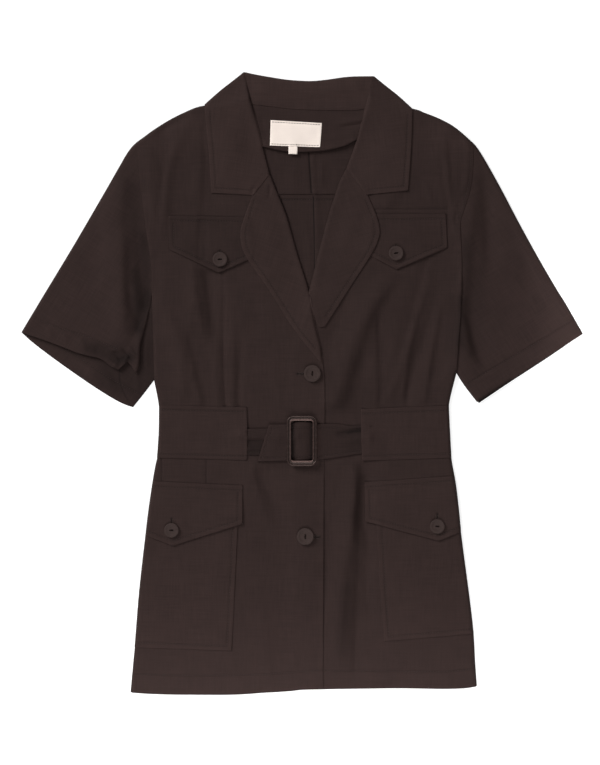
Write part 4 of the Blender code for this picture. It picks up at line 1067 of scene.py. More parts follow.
# %% Right front
front_right = Panel(
    [
        ("side", (413, 108.6), (424, 112.4), (436, 117), (448, 122.8), (456, 128), (465, 135.4),
         (473.4, 143.4)),
        ("flush", (471, 184), (460, 221)),
        ("tucked", (461.6, 261), (461.6, 276)),
        ("armhole", (461, 302), (456.6, 372.5)),
        ("side", (449, 406), (450, 432), (451.4, 457), (455.4, 480), (457.6, 496), (460.6, 528),
         (465.6, 568), (470, 600), (473.6, 632), (475.4, 664), (477, 685.8)),
        ("hem", (464, 687.8), (442, 688.4), (400, 687.8), (360, 688.2), (323, 688.8), (292, 689.6)),
        ("hidden", (292, 500), (292, 360)),
        ("hidden", (313, 292), (321.6, 255), (332.6, 212), (351, 165), (363, 128), (369, 101)),
    ],
    sewn=[
        Sewn((326, 670), (381, 670.4), (442, 671), (475, 668), smooth=True),
        Sewn((446, 209), (376, 209.4), depth=0.45, width=0.9, thread=False),
        painted_band((412, 130), (436, 136), (458, 150), width=20.0, dark=-0.6),
        painted_band((345, 590), (343, 620), (342, 650), width=9.0, dark=0.55),
        Sewn((471, 148), (468.4, 184), (458.4, 218), depth=0.2, dark=-0.3, smooth=True),
        painted_band((469.4, 143), (469.2, 150), width=2.5, dark=-1.2),
        painted_band((461, 226), (462, 256), width=2.0, dark=-0.8),
        painted_band((454, 298), (452, 350), width=8.0, dark=0.5),
        painted_band((460, 298), (459, 318), (457.4, 345), width=2.6, dark=0.8),
        painted_band((331, 374), (332, 404), width=15.0, dark=0.4),
        painted_band((358, 396), (376, 396), width=18.0, dark=0.25),
    ],
    folds=[
        Fold([(366, 112), (352, 160), (336, 204), (322, 256), (314, 292)], 44.0, -3.0, fade=(0.1, 0.25)),
        Fold([(439, 149), (445, 190), (447, 197), (450, 237)], 6.2, -0.64, lean=-0.21, fade=(0.19, 0.1)),
        Fold([(443, 123), (446, 161), (447, 171), (450, 215)], 16.8, 1.49, lean=-0.62, fade=(0.43, 0.25)),
        Fold([(465, 160), (470, 168), (467, 180), (464, 197)], 16.5, 1.13, lean=0.62, fade=(0.3, 0.3)),
        Fold([(426, 120), (452, 133), (465, 141), (487, 171)], 9.2, 1.33, lean=0.29, fade=(0.29, 0.1)),
        Fold([(420, 183), (400, 190), (386, 207), (374, 222)], 18.0, 1.01, lean=-0.41, fade=(0.25, 0.43)),
        Fold([(426, 108), (425, 126), (433, 139), (444, 152)], 17.9, -1.08, fade=(0.36, 0.47)),
        Fold([(424, 178), (428, 190), (434, 206), (444, 216)], 6.5, 0.6, lean=-0.28, fade=(0.38, 0.55)),
        Fold([(445, 120), (456, 134), (464, 141), (475, 152)], 16.0, 1.06, lean=0.11, fade=(0.23, 0.2)),
        Fold([(452, 144), (456, 165), (454, 207), (454, 248)], 6.3, 0.35, lean=-0.13, fade=(0.15, 0.56)),
        Fold([(381, 310), (379, 334), (381, 386), (378, 419)], 14.2, -1.63, lean=0.62, fade=(0.13, 0.17)),
        Fold([(400, 269), (373, 308), (352, 363), (336, 414)], 18.0, 2.62, lean=-0.36, fade=(0.18, 0.08)),
        Fold([(384, 272), (367, 311), (352, 342), (329, 414)], 18.0, 2.4, lean=-0.24, fade=(0.35, 0.08)),
        Fold([(430, 250), (415, 303), (402, 353), (398, 412)], 10.1, -1.08, lean=-0.34, fade=(0.1, 0.06)),
        Fold([(432, 276), (425, 306), (415, 338), (404, 413)], 7.2, -1.02, lean=0.36, fade=(0.31, 0.06)),
        Fold([(432, 247), (437, 287), (415, 368), (405, 410)], 13.1, -2.8, lean=0.14, fade=(0.59, 0.12)),
        Fold([(445, 302), (440, 332), (430, 390), (427, 412)], 16.9, -1.86, lean=0.6, fade=(0.13, 0.2)),
        Fold([(366, 346), (361, 380), (358, 400), (366, 424)], 18.0, -1.68, lean=-0.09, fade=(0.2, 0.24)),
        Fold([(417, 321), (401, 367), (393, 388), (370, 421)], 7.8, 1.2, fade=(0.08, 0.49)),
        Fold([(353, 291), (327, 346), (328, 354), (329, 376)], 14.6, -1.38, lean=-0.21, fade=(0.2, 0.3)),
        Fold([(468, 308), (452, 364), (446, 378), (419, 397)], 18.0, 1.52, lean=0.36, fade=(0.17, 0.3)),
        Fold([(457, 272), (462, 279), (458, 297), (459, 312)], 10.2, 1.27, fade=(0.3, 0.3)),
        Fold([(431, 336), (428, 377), (424, 399), (397, 411)], 8.2, 0.7, lean=0.27, fade=(0.42, 0.1)),
        Fold([(356, 462), (349, 536), (343, 579), (337, 684)], 15.8, 2.8, lean=-0.14, fade=(0.05, 0.3)),
        Fold([(362, 458), (360, 530), (360, 553), (355, 684)], 18.0, -2.26, lean=0.5, fade=(0.04, 0.12)),
        Fold([(366, 472), (363, 516), (368, 540), (368, 590)], 13.5, -2.09, lean=0.21, fade=(0.06, 0.3)),
        Fold([(352, 548), (364, 569), (369, 602), (373, 640)], 10.4, -1.06, fade=(0.44, 0.35)),
        Fold([(328, 500), (328, 542), (324, 590), (320, 640)], 18.0, -1.5, fade=(0.2, 0.3)),
        Fold([(362, 654), (366, 654), (388, 657), (392, 659)], 18.0, -1.33, lean=0.37, fade=(0.3, 0.65)),
        Fold([(353, 480), (356, 500), (353, 515), (349, 547)], 8.2, 0.78, lean=-0.3, fade=(0.2, 0.2)),
        Fold([(336, 490), (352, 525), (358, 545), (401, 564)], 18.0, 1.37, lean=-0.17, fade=(0.2, 0.49)),
        Fold([(400, 648), (402, 665), (405, 687)], 12.0, 0.5, fade=(0.3, 0.01)),
        Fold([(440, 645), (444, 664), (449, 686)], 12.0, 0.5, fade=(0.3, 0.01)),
    ],
    loft=5.0,
    step=2.2,
    shade=0.25,
)
sew("front_right", [front_right])

# %% Right chest flap
flap_chest_right = Panel(
    [
        ("seam", (445.5, 213.8)),
        ("hem", (447.5, 248)),
        ("hem", (396.4, 270)),
        ("hem", (366, 254)),
        ("hidden", (372, 214.4)),
    ],
    sewn=[
        Sewn((444.6, 219.2), (374, 219.8)),
        Sewn((441.2, 222.4), (442.6, 245), (396.6, 264.4), (372, 251.6)),
        Sewn((395.6, 245.4), (395.8, 253.0), depth=0.5, dark=1.6, thread=False),
    ],
    folds=[
        Fold([(382, 232), (404, 240), (430, 236)], 16.0, 0.5),
        Fold([(374, 256), (396.4, 267.6), (446, 246.6)], 7.0, 0.9, fade=(0.1, 0.1)),
    ],
    thick=1.1,
    step=1.9,
    shade=0.2,
)
sew("flap_chest_right", [flap_chest_right])

# %% Right lapel
lapel_right = Panel(
    [
        ("hidden", (354, 172), (366.4, 192.6)),
        ("hem", (368.4, 196.6), (376, 214.6), (379.8, 230), (378, 241), (370, 257), (348, 291), (325, 327)),
        ("hidden", (318, 326), (312, 306), (309, 290)),
        ("roll", (317.8, 256), (328.5, 214.6), (334.6, 196), (339, 182.6), (346.2, 168.6)),
    ],
    sewn=[Sewn((366, 201), (371.4, 215.6), (374.6, 230), (373.2, 239.6), (366, 254), (344, 288), (326, 316),
               smooth=True)],
    folds=[
        Fold([(344, 172), (336, 196), (330, 215), (319, 256), (311, 288)], 16.0, 0.7, fade=(0.08, 0.1)),
        Fold([(350, 210), (345, 240), (332, 284)], 14.0, 0.4),
    ],
    thick=1.2,
    step=1.9,
    grain=17.0,
)
sew("lapel_right", [lapel_right])

# %% Left front
front_left = Panel(
    [
        ("side", (152, 130.8), (168, 120.6), (184, 112.4), (200, 106.2), (219, 104), (247, 97)),
        ("hidden", (254, 121), (262, 155), (275, 195), (284, 219), (294.6, 257.5), (305, 290), (312, 325),
         (321, 356)),
        ("hem", (324.2, 372), (325, 400), (324.2, 480), (323.5, 600), (323.3, 688.6)),
        ("hem", (304, 689), (288, 690.8), (264, 692.3), (232, 694.2), (180, 694.2), (150, 693.4),
         (130.4, 692)),
        ("side", (133, 664), (135.2, 640), (139, 592), (144.3, 544), (148, 512), (152.7, 480), (155.6, 464),
         (157.4, 455), (158.7, 432), (159, 408), (154, 380)),
        ("armhole", (152, 302), (151.8, 271), (148, 242), (144, 215), (140.2, 180), (136.8, 142.4)),
    ],
    sewn=[
        Sewn((132.8, 673), (180, 675), (252, 674), (281, 672.4), (323, 669.4), smooth=True),
        Sewn((162, 459), (162, 482), depth=0.45, thread=False),
        Sewn((206.5, 460), (206.5, 483), depth=0.45, thread=False),
        painted_band((156, 142), (185, 132), (206, 128), width=22.0, dark=-0.45),
        Sewn((298.4, 373.9), (311.0, 373.8), depth=0.6, dark=3.0, thread=False),
        Sewn((306.0, 536.2), (319.4, 536.8), depth=0.6, dark=3.0, thread=False),
    ],
    folds=[
        Fold([(250, 108), (262, 152), (284, 216), (304, 284), (316, 340)], 44.0, -3.2, fade=(0.1, 0.25)),
        Fold([(192, 120), (172, 158), (165, 209), (164, 233)], 9.3, 1.78, lean=0.18, fade=(0.54, 0.2)),
        Fold([(152, 131), (152, 197), (162, 230), (166, 250)], 17.8, 1.91, lean=0.35, fade=(0.43, 0.25)),
        Fold([(206, 145), (206, 169), (204, 200), (201, 224)], 16.6, -1.08, lean=0.62, fade=(0.2, 0.1)),
        Fold([(148, 141), (152, 160), (158, 172), (156, 194)], 18.0, 0.65, lean=-0.6, fade=(0.2, 0.2)),
        Fold([(192, 112), (180, 118), (166, 127), (152, 138)], 13.8, -1.5, lean=-0.26, fade=(0.1, 0.4)),
        Fold([(184, 115), (174, 122), (165, 131), (160, 146)], 18.0, -1.0, lean=-0.2, fade=(0.15, 0.4)),
        Fold([(173, 123), (176, 135), (173, 149), (172, 166)], 18.0, 1.14, lean=0.34, fade=(0.2, 0.35)),
        Fold([(191, 120), (178, 121), (164, 131), (152, 146)], 16.3, -0.8, lean=0.45, fade=(0.25, 0.5)),
        Fold([(162, 160), (157, 193), (155, 200), (152, 246)], 6.4, 0.56, lean=-0.4, fade=(0.8, 0.2)),
        Fold([(200, 158), (200, 170), (197, 188), (190, 203)], 18.0, 1.17, lean=0.21, fade=(0.3, 0.3)),
        Fold([(204, 116), (204, 133), (205, 162), (206, 175)], 11.7, -0.91, lean=0.52, fade=(0.24, 0.4)),
        Fold([(197, 259), (189, 328), (186, 340), (201, 412)], 18.0, 2.34, lean=-0.52, fade=(0.68, 0.06)),
        Fold([(188, 317), (190, 360), (188, 382), (206, 412)], 7.7, -0.74, lean=-0.29, fade=(0.15, 0.23)),
        Fold([(164, 293), (172, 326), (184, 370), (178, 414)], 18.0, 1.8, lean=-0.3, fade=(0.26, 0.08)),
        Fold([(192, 258), (195, 291), (197, 300), (203, 345)], 10.0, 1.43, lean=-0.35, fade=(0.15, 0.3)),
        Fold([(208, 266), (210, 307), (214, 330), (212, 352)], 18.0, -1.8, lean=0.32, fade=(0.08, 0.3)),
        Fold([(201, 254), (208, 273), (214, 316), (219, 345)], 18.0, -1.6, lean=0.15, fade=(0.26, 0.3)),
        Fold([(200, 252), (205, 269), (215, 326), (212, 352)], 18.0, -1.2, lean=0.53, fade=(0.26, 0.2)),
        Fold([(256, 295), (256, 314), (255, 325), (253, 345)], 18.0, -0.8, lean=-0.27, fade=(0.4, 0.4)),
        Fold([(146, 255), (156, 275), (152, 308), (171, 331)], 18.0, -1.64, lean=-0.26, fade=(0.1, 0.4)),
        Fold([(223, 262), (224, 304), (224, 350), (226, 412)], 4.0, -1.3, lean=-0.2, fade=(0.3, 0.02),
             crisp=True),
        Fold([(216, 275), (216, 330), (217, 412)], 8.0, 0.9, fade=(0.5, 0.02)),
        Fold([(234, 300), (233, 355), (233, 412)], 8.0, 1.1, lean=-0.3, fade=(0.5, 0.02)),
        Fold([(243, 325), (240, 368), (239, 412)], 6.0, -1.2, fade=(0.5, 0.02)),
        Fold([(270, 345), (276, 380), (282, 424)], 16.0, 0.9),
        Fold([(300, 390), (296, 405), (294, 424)], 9.0, -0.5),
        Fold([(257, 458), (253, 474), (264, 511), (275, 532)], 15.9, 1.25, lean=-0.46, fade=(0.1, 0.35)),
        Fold([(253, 468), (262, 478), (274, 503), (288, 550)], 18.0, -1.48, lean=0.4, fade=(0.15, 0.72)),
        Fold([(345, 467), (310, 468), (280, 470), (252, 470)], 14.0, -1.0, fade=(0.2, 0.2)),
        Fold([(256, 610), (264, 639), (264, 663), (272, 684)], 18.0, 1.39, lean=-0.18, fade=(0.3, 0.14)),
        Fold([(260, 664), (262, 676), (264, 690)], 4.0, -0.5, fade=(0.4, 0.01)),
        Fold([(270, 664), (271, 676), (272, 690)], 4.0, 0.5, fade=(0.4, 0.01)),
        Fold([(180, 655), (184, 670), (188, 691)], 12.0, 0.5, fade=(0.4, 0.01)),
        Fold([(222, 655), (224, 670), (226, 691)], 12.0, -0.4, fade=(0.4, 0.01)),
    ],
    loft=5.0,
    step=2.2,
    shade=0.2,
)
sew("front_left", [front_left])

# %% Left chest flap
flap_chest_left = Panel(
    [
        ("seam", (250, 217.3)),
        ("hidden", (254, 258)),
        ("hem", (219, 273.3)),
        ("hem", (169, 249.7)),
        ("hem", (168.8, 216)),
    ],
    sewn=[
        Sewn((169.6, 220.6), (249, 221.8)),
        Sewn((173.8, 224), (174, 246.6), (219, 267.6), (249, 254.6)),
        Sewn((220.2, 251.6), (220.2, 259.0), depth=0.5, dark=1.6, thread=False),
    ],
    folds=[
        Fold([(170, 248.4), (219, 270.8), (250, 257.8)], 7.0, 0.8, fade=(0.1, 0.1)),
        Fold([(202.6, 218), (202.2, 236), (201.6, 262)], 8.0, -1.9, lean=0.1, fade=(0.1, 0.1)),
        Fold([(180, 236), (186, 244), (192, 254)], 12.0, 0.6),
        Fold([(212, 228), (228, 240), (244, 238)], 14.0, 0.6),
    ],
    thick=1.1,
    step=1.9,
    shade=0.45,
)
sew("flap_chest_left", [flap_chest_left])

# %% Left lapel
lapel_left = Panel(
    [
        ("hidden", (259.4, 181), (268, 169)),
        ("roll", (278.8, 195), (288, 219), (298.7, 257.5), (309, 290), (316, 325), (321, 345),
         (323.6, 364)),
        ("hidden", (320, 362)),
        ("hem", (294.8, 331), (268.8, 290), (245, 255), (240.6, 233.5), (245, 216), (251.8, 197.6),
         (253.4, 193)),
    ],
    sewn=[Sewn((254.6, 201), (249.6, 217.6), (245.8, 233.6), (249.6, 252), (272.8, 287), (298.6, 327.6),
               (315, 348), smooth=True)],
    folds=[
        Fold([(270, 171), (280, 196), (289, 220), (300, 258), (310, 291), (317, 325), (322, 348)], 16.0,
             0.7, fade=(0.08, 0.1)),
        Fold([(262, 206), (270, 236), (290, 284)], 14.0, 0.4),
        Fold([(269.4, 182), (270, 190), (268.6, 199)], 3.0, -0.9, crisp=True),
        Fold([(256, 194.6), (262, 196.2), (269, 198.4)], 2.6, 0.8, crisp=True),
    ],
    thick=1.2,
    step=1.9,
    grain=-18.0,
    shade=-0.3,
)
sew("lapel_left", [lapel_left])

# %% [markdown]
# ## Collar
#
# The collar is one leaf from notch to notch. It lies on both fronts, turns over the shoulders and
# passes behind the neck. Its two front leaves are laid on the chest now, and joined with the part
# behind the neck into one piece. The back and the pieces at the neck, which were laid first, are sewn
# here too.

# %% Collar leaves
collar_left = Panel(
    [
        ("side", (232.5, 80.8), (222.9, 88.2), (213.5, 96.2), (204.6, 104.2)),
        ("hem", (206.6, 130), (209, 155), (211.5, 193.5)),
        ("hem", (253.2, 195.6)),
        ("flush", (260.4, 186.4), (270, 174)),
        ("roll", (265, 155), (257, 121), (250.5, 98), (243.6, 72)),
    ],
    sewn=[
        Sewn((210.4, 112), (211.6, 130), (214, 155), (216.2, 188.6)),
        Sewn((216.2, 188.6), (251, 190.2)),
        painted_band((254.4, 194), (260.2, 186.4), (268.6, 175.6), width=1.5, dark=-0.6),
    ],
    folds=[
        Fold([(247, 84), (252, 99), (259, 122), (266, 152)], 16.0, 1.0, fade=(0.05, 0.1)),
        Fold([(255, 193.4), (259, 187), (262.4, 182)], 3.0, 0.8, fade=(0.1, 0.4)),
        Fold([(228, 110), (234, 140), (238, 176)], 22.0, 0.6),
    ],
    thick=1.3,
    step=1.9,
    grain=-8.0,
    shade=-0.55,
)
collar_right = Panel(
    [
        ("side", (384.4, 84.4), (392.5, 90.8), (400.5, 97.4), (412.4, 108.4)),
        ("hem", (412, 130), (411, 152), (408, 191.3)),
        ("hem", (366, 195.3)),
        ("gorge", (352.4, 177), (346.4, 168.2)),
        ("roll", (354.5, 146), (360, 126), (371.4, 83), (374, 76)),
    ],
    sewn=[
        Sewn((407.6, 116), (407, 130), (406, 152), (403.4, 186.6)),
        Sewn((403.4, 186.6), (369, 190)),
    ],
    folds=[
        Fold([(369, 92), (362, 118), (354, 144), (348, 162)], 16.0, 1.0, fade=(0.05, 0.1)),
        Fold([(392, 112), (386, 140), (382, 176)], 22.0, 0.4),
    ],
    thick=1.3,
    step=1.9,
    grain=8.0,
    shade=-0.3,
)
sew("collar_fall", [collar_behind, collar_left, collar_right])
sew("back_left", [back_left])
sew("back_right", [back_right])
sew("back_yoke", [back_yoke])
sew("back_neck_facing", [facing])
sew("collar_stand", [stand])
sew("neck_label", [neck_label], material=label_satin)
sew("size_tab", [size_tab], material=label_satin)

# %% [markdown]
# ## Pockets, waist panels and belt
#
# The patch pockets and their flaps run round the side. The belt is laid before the waist panels,
# because its two ends come out from under them. The end from the right passes through the buckle, over
# its bar, and points to the left.

# %% Hip pockets
pocket_hip_left = Panel(
    [
        ("hidden", (241, 500)),
        ("hem", (238.2, 526), (235, 590), (232, 650.4)),
        ("hem", (134.5, 647)),
        ("side", (139.2, 590), (145.4, 535), (150.2, 498)),
    ],
    sewn=[Sewn((235.4, 510), (233, 527), (230, 590), (227.2, 645.2), (136.4, 642))],
    folds=[
        Fold([(160, 560), (190, 600), (215, 640)], 24.0, 0.5),
        Fold([(225, 560), (212, 590), (205, 640)], 14.0, 0.4),
    ],
    thick=0.8,
    step=2.2,
)
pocket_hip_right = Panel(
    [
        ("hidden", (457.4, 496)),
        ("side", (460.9, 531), (468.6, 590), (473.7, 633.4)),
        ("hem", (384, 641)),
        ("hem", (380, 590), (377, 535), (374.6, 496)),
    ],
    sewn=[Sewn((380.4, 508), (382, 536), (385, 590), (388.6, 636), (471.6, 628.6))],
    folds=[
        Fold([(440, 560), (420, 590), (404, 626)], 24.0, 0.5),
        Fold([(392, 556), (398, 590), (402, 630)], 12.0, 0.4),
    ],
    thick=0.8,
    step=2.2,
)
sew("pocket_hip_left", [pocket_hip_left])
sew("pocket_hip_right", [pocket_hip_right])

# %% Hip flaps
flap_hip_left = Panel(
    [
        ("seam", (200, 483), (243, 485)),
        ("hem", (242.7, 523.6)),
        ("hem", (173.3, 545.6)),
        ("hem", (145.4, 535)),
        ("side", (148.7, 508), (152.7, 480.6)),
    ],
    sewn=[
        Sewn((153.4, 486), (242.4, 490)),
        Sewn((238, 492.4), (237.8, 519.8), (173.4, 540), (147.6, 530.4)),
        Sewn((172.0, 518.4), (171.9, 529.0), depth=0.6, dark=3.0, thread=False),
    ],
    folds=[
        Fold([(149, 535), (173.4, 543.4), (241, 522.4)], 7.0, 0.6, fade=(0.1, 0.1)),
        Fold([(168, 500), (200, 512), (236, 506)], 20.0, 0.5),
        Fold([(176, 512), (186, 528), (192, 536)], 7.0, 0.4),
    ],
    thick=1.1,
    step=2.0,
)
flap_hip_right = Panel(
    [
        ("seam", (408, 478.8), (454.4, 475.4)),
        ("side", (458.7, 506), (461.2, 531.4)),
        ("hem", (437.9, 540.6)),
        ("hem", (365, 521.3)),
        ("hem", (364.5, 482)),
    ],
    sewn=[
        Sewn((365, 486.8), (454, 480.2)),
        Sewn((369.4, 489.4), (369.8, 517.4), (437.6, 535), (459.2, 526.4)),
        Sewn((436.9, 514.2), (436.8, 525.0), depth=0.6, dark=3.0, thread=False),
    ],
    folds=[
        Fold([(366, 520.4), (437.8, 538.6), (457, 531)], 7.0, 0.6, fade=(0.1, 0.1)),
        Fold([(372, 502), (404, 510), (444, 500)], 20.0, 0.5),
        Fold([(420, 530), (428, 518), (432, 506)], 7.0, 0.4),
    ],
    thick=1.1,
    step=2.0,
)
sew("flap_hip_left", [flap_hip_left])
sew("flap_hip_right", [flap_hip_right])

# %% Belt from the left
belt_under_low = Panel(
    [
        ("hem", (263, 436), (299, 434)),
        ("hidden", (299, 456)),
        ("hem", (263, 455.4), (238, 455)),
        ("hidden", (238, 436)),
    ],
    sewn=[Sewn((239, 451.8), (263, 452), (284, 452.4))],
    folds=[Fold([(240, 448), (252, 448.6), (266, 448)], 3.6, 0.7)],
    thick=1.3,
    step=1.6,
    shade=1.5,
)
belt_under_high = Panel(
    [
        ("hem", (263, 428.4), (299, 427)),
        ("hidden", (299, 440)),
        ("turned", (263, 440.2), (238, 439.6)),
        ("hidden", (238, 428.6)),
    ],
    folds=[Fold([(240, 435), (252, 436), (266, 435)], 5.0, 1.0)],
    thick=1.5,
    step=1.6,
    shade=0.8,
)
sew("belt_under", [belt_under_low, belt_under_high])

# %% Belt from the right, through the buckle
belt_over = Panel(
    [
        ("hem", (361, 424.8), (352, 425.8), (339, 423.9), (319, 423.6), (311, 422), (303, 421.2),
         (295, 422), (286, 424), (269, 424.6)),
        ("hem", (257.4, 461.3)),
        ("hem", (292, 460.4), (320, 459.3), (338, 457.2), (356, 454.4), (372, 453.6)),
        ("hidden", (372, 426)),
    ],
    sewn=[
        Sewn((340, 427.6), (292, 427.4), (271.8, 427.9), dark=0.35),
        Sewn((271.8, 427.9), (262, 457.8), dark=0.35),
        Sewn((262, 457.8), (292, 457), (320, 455.9), (338, 453.8), (370, 450.2), dark=0.5),
        # Painted shade towards the right end and in the pinch, painted shadow inside both side rails of the
        # buckle, and painted light just right of it.
        painted_band((366, 422), (365, 440), (364, 458), width=30.0, dark=0.7),
        painted_band((291.4, 422), (291.4, 460), width=3.4, dark=2.0),
        painted_band((311.8, 422), (311.8, 460), width=2.4, dark=1.6),
        painted_band((318.4, 427), (318.4, 456), width=2.4, dark=-1.6),
        Sewn((366, 429), (352, 431), (338, 434), depth=0.6, width=2.2, dark=0.7, thread=False),
        Sewn((366, 430.6), (356, 431.4), (348, 432.4), depth=0.5, width=1.8, dark=0.7, thread=False),
    ],
    folds=[
        Fold([(303, 416), (303, 441), (303, 468)], 14.0, 1.6, fade=(0.02, 0.02)),
        Fold([(313, 418), (313, 441), (313, 466)], 8.0, -0.9, fade=(0.02, 0.02)),
        Fold([(374, 429), (364, 429.8), (346, 432.8), (328, 435)], 4.2, -2.2, fade=(0.02, 0.75)),
        Fold([(374, 426), (360, 426.8), (344, 429)], 3.4, 1.2, fade=(0.02, 0.7)),
        Fold([(374, 437), (356, 439), (336, 441)], 6.0, 1.2, fade=(0.02, 0.7)),
        Fold([(374, 448), (352, 446), (328, 449)], 5.0, -0.8, fade=(0.02, 0.7)),
        Fold([(284, 428), (276, 442), (272, 458)], 9.0, 0.6),
    ],
    thick=1.5,
    step=1.6,
    shade=0.45,
)
sew("belt_over", [belt_over])

# %% Waist panels
waist_panel_left = Panel(
    [
        ("seam", (204, 406), (247, 407)),
        ("hem", (247.6, 432), (247.3, 460.2)),
        ("seam", (204, 459), (156.9, 458)),
        ("side", (158.6, 432), (159, 405)),
    ],
    sewn=[Sewn((160, 409.6), (246, 411.4)), Sewn((158.4, 453.6), (246, 455.8))],
    folds=[
        Fold([(170, 432), (200, 428), (236, 434)], 16.0, 0.5),
        Fold([(247, 432), (236, 434), (222, 436)], 6.0, 0.7, fade=(0.05, 0.7)),
    ],
    thick=0.8,
    give=6.0,
    step=2.0,
)
waist_panel_right = Panel(
    [
        ("seam", (405, 407), (449, 405.4)),
        ("side", (450.2, 432), (451.6, 457.8)),
        ("seam", (405, 459.4), (362, 460.6)),
        ("hem", (361, 436), (361, 409)),
    ],
    sewn=[Sewn((362, 413.6), (448.6, 410)), Sewn((363, 456), (450.6, 453.2))],
    folds=[
        Fold([(372, 434), (404, 430), (440, 434)], 16.0, 0.5),
        Fold([(361, 434), (374, 432), (388, 430)], 6.0, 0.7, fade=(0.05, 0.7)),
    ],
    thick=0.8,
    give=6.0,
    step=2.0,
)
sew("waist_panel_left", [waist_panel_left])
sew("waist_panel_right", [waist_panel_right])

# %% [markdown]
# ## Moulded plastic
#
# Buttons and buckle are moulded in brown resin. Both share one node group: a cloudy colour and a faint
# unevenness of the surface. An attribute on the buckle holds painted highlight on its beads and painted
# shade in its channel and low parts, where it is also rougher. The buttons are satin, the buckle is
# polished.

# %% Resin group and materials
RESIN_DEPTH = 0.0001
# One input of the group carries painted highlight and painted shade from the mesh.
resin, resin_in, resin_out = new_group(
    "clouded_resin",
    [
        ("Vector", "NodeSocketVector", None),
        ("Ground", "NodeSocketColor", (0.04, 0.03, 0.025, 1.0)),
        ("Painted_Glint_And_Shade", "NodeSocketFloat", 0.0),
        ("Roughness", "NodeSocketFloat", 0.4),
    ],
    [("Color", "NodeSocketColor"), ("Roughness", "NodeSocketFloat"), ("Height", "NodeSocketFloat")],
)
cloud_settings = [("Scale", 260.0), ("Detail", 4.0), ("Roughness", 0.6)]
clouds = add_node(resin, "ShaderNodeTexNoise", values=cloud_settings)
resin.links.new(resin_in.outputs["Vector"], clouds.inputs["Vector"])
resin_tone = math_node(resin, "ADD", math_node(resin, "MULTIPLY", clouds.outputs["Fac"], 0.5), 0.75)
resin_glint_factor = math_node(resin, "ADD", resin_in.outputs["Painted_Glint_And_Shade"], 1.0)
resin_tone = math_node(resin, "MULTIPLY", resin_tone, resin_glint_factor)
resin_tint = add_node(resin, "ShaderNodeVectorMath", settings=[("operation", "SCALE")])
resin.links.new(resin_in.outputs["Ground"], resin_tint.inputs[0])
resin.links.new(resin_tone, resin_tint.inputs["Scale"])
resin.links.new(resin_tint.outputs["Vector"], resin_out.inputs["Color"])
resin_rough = math_node(resin, "SUBTRACT", clouds.outputs["Fac"], 0.5)
resin_rough = math_node(resin, "MULTIPLY", resin_rough, 0.2)
resin_rough = math_node(resin, "ADD", resin_rough, resin_in.outputs["Roughness"])
# Where that painted shade lies, the resin is also made rougher.
resin_shade_roughening = math_node(resin, "MINIMUM", resin_in.outputs["Painted_Glint_And_Shade"], 0.0)
resin_shade_roughening = math_node(resin, "MULTIPLY", resin_shade_roughening, 0.5)
resin.links.new(math_node(resin, "SUBTRACT", resin_rough, resin_shade_roughening), resin_out.inputs["Roughness"])
resin.links.new(clouds.outputs["Fac"], resin_out.inputs["Height"])


def resin_material(name, ground, roughness, specular, tint, bump):
    """A moulded plastic: the resin group, at places on the object."""
    material, group, shader = grouped_material(
        name, resin, "Painted_Glint_And_Shade", ground, roughness, specular, bump, RESIN_DEPTH
    )
    shader.inputs["Specular Tint"].default_value = (*tint, 1.0)
    place = material.node_tree.nodes.new("ShaderNodeTexCoord")
    material.node_tree.links.new(place.outputs["Object"], group.inputs["Vector"])
    return material


BUTTON_BROWN, BUCKLE_BROWN = (0.0375, 0.0245, 0.0220), (0.023, 0.0145, 0.0130)
PLAIN_GLINT, WARM_GLINT = (1.0, 1.0, 1.0), (1.0, 0.76, 0.7)
button_resin = resin_material("brown_button_resin", BUTTON_BROWN, 0.6, 0.1, PLAIN_GLINT, 0.05)
buckle_resin = resin_material("dark_buckle_resin", BUCKLE_BROWN, 0.27, 0.42, WARM_GLINT, 0.005)
print("materials:", button_resin.name, buckle_resin.name)

# %% [markdown]
# ## Buttons
#
# A button is turned from a disc: a raised rim, a dished middle, and a sunk eye with two holes in it. It
# is modelled once from a cylinder, by insets, a push and a bevel in edit mode, and the eye and its
# holes are cut by Booleans. Copies are scaled, turned and set on the cloth. Thread through the holes is
# made of the same stitch as the seams.

# %% One button
BUTTON_RADIUS, BUTTON_DEPTH = 10.25, 3.0
HOLE_RADIUS, HOLE_SPACING = 0.9, 3.6
EYE_SIZE, EYE_FLOOR = (3.2, 1.2), -1.2
RIM_WIDTH, SLOPE_WIDTH, DISH_WIDTH = 2.4, 1.2, 1.8
SLOPE_DROP, DISH_DROP, RIM_ROUND = 0.4, 0.15, 0.55


def pick_faces(piece, test):
    """Select in edit mode only the faces that pass a test."""
    shape = bmesh.from_edit_mesh(piece.data)
    bpy.ops.mesh.select_all(action="DESELECT")
    for face in shape.faces:
        face.select_set(test(face))
    bmesh.update_edit_mesh(piece.data)


def pick_edges(piece, test):
    """Select in edit mode only the edges that pass a test."""
    shape = bmesh.from_edit_mesh(piece.data)
    bpy.ops.mesh.select_all(action="DESELECT")
    for edge in shape.edges:
        edge.select_set(test(edge))
    bmesh.update_edit_mesh(piece.data)


bpy.ops.object.select_all(action="DESELECT")
bpy.ops.mesh.primitive_cylinder_add(vertices=56, radius=BUTTON_RADIUS, depth=BUTTON_DEPTH)
turned = bpy.context.object
bpy.ops.object.mode_set(mode="EDIT")
bpy.ops.mesh.select_mode(type="FACE")
pick_faces(turned, lambda face: face.normal.z > 0.9)
bpy.ops.mesh.inset(thickness=RIM_WIDTH)
bpy.ops.mesh.inset(thickness=SLOPE_WIDTH)
bpy.ops.transform.translate(value=(0.0, 0.0, -SLOPE_DROP))
bpy.ops.mesh.inset(thickness=DISH_WIDTH)
bpy.ops.transform.translate(value=(0.0, 0.0, -DISH_DROP))
bpy.ops.mesh.select_mode(type="EDGE")


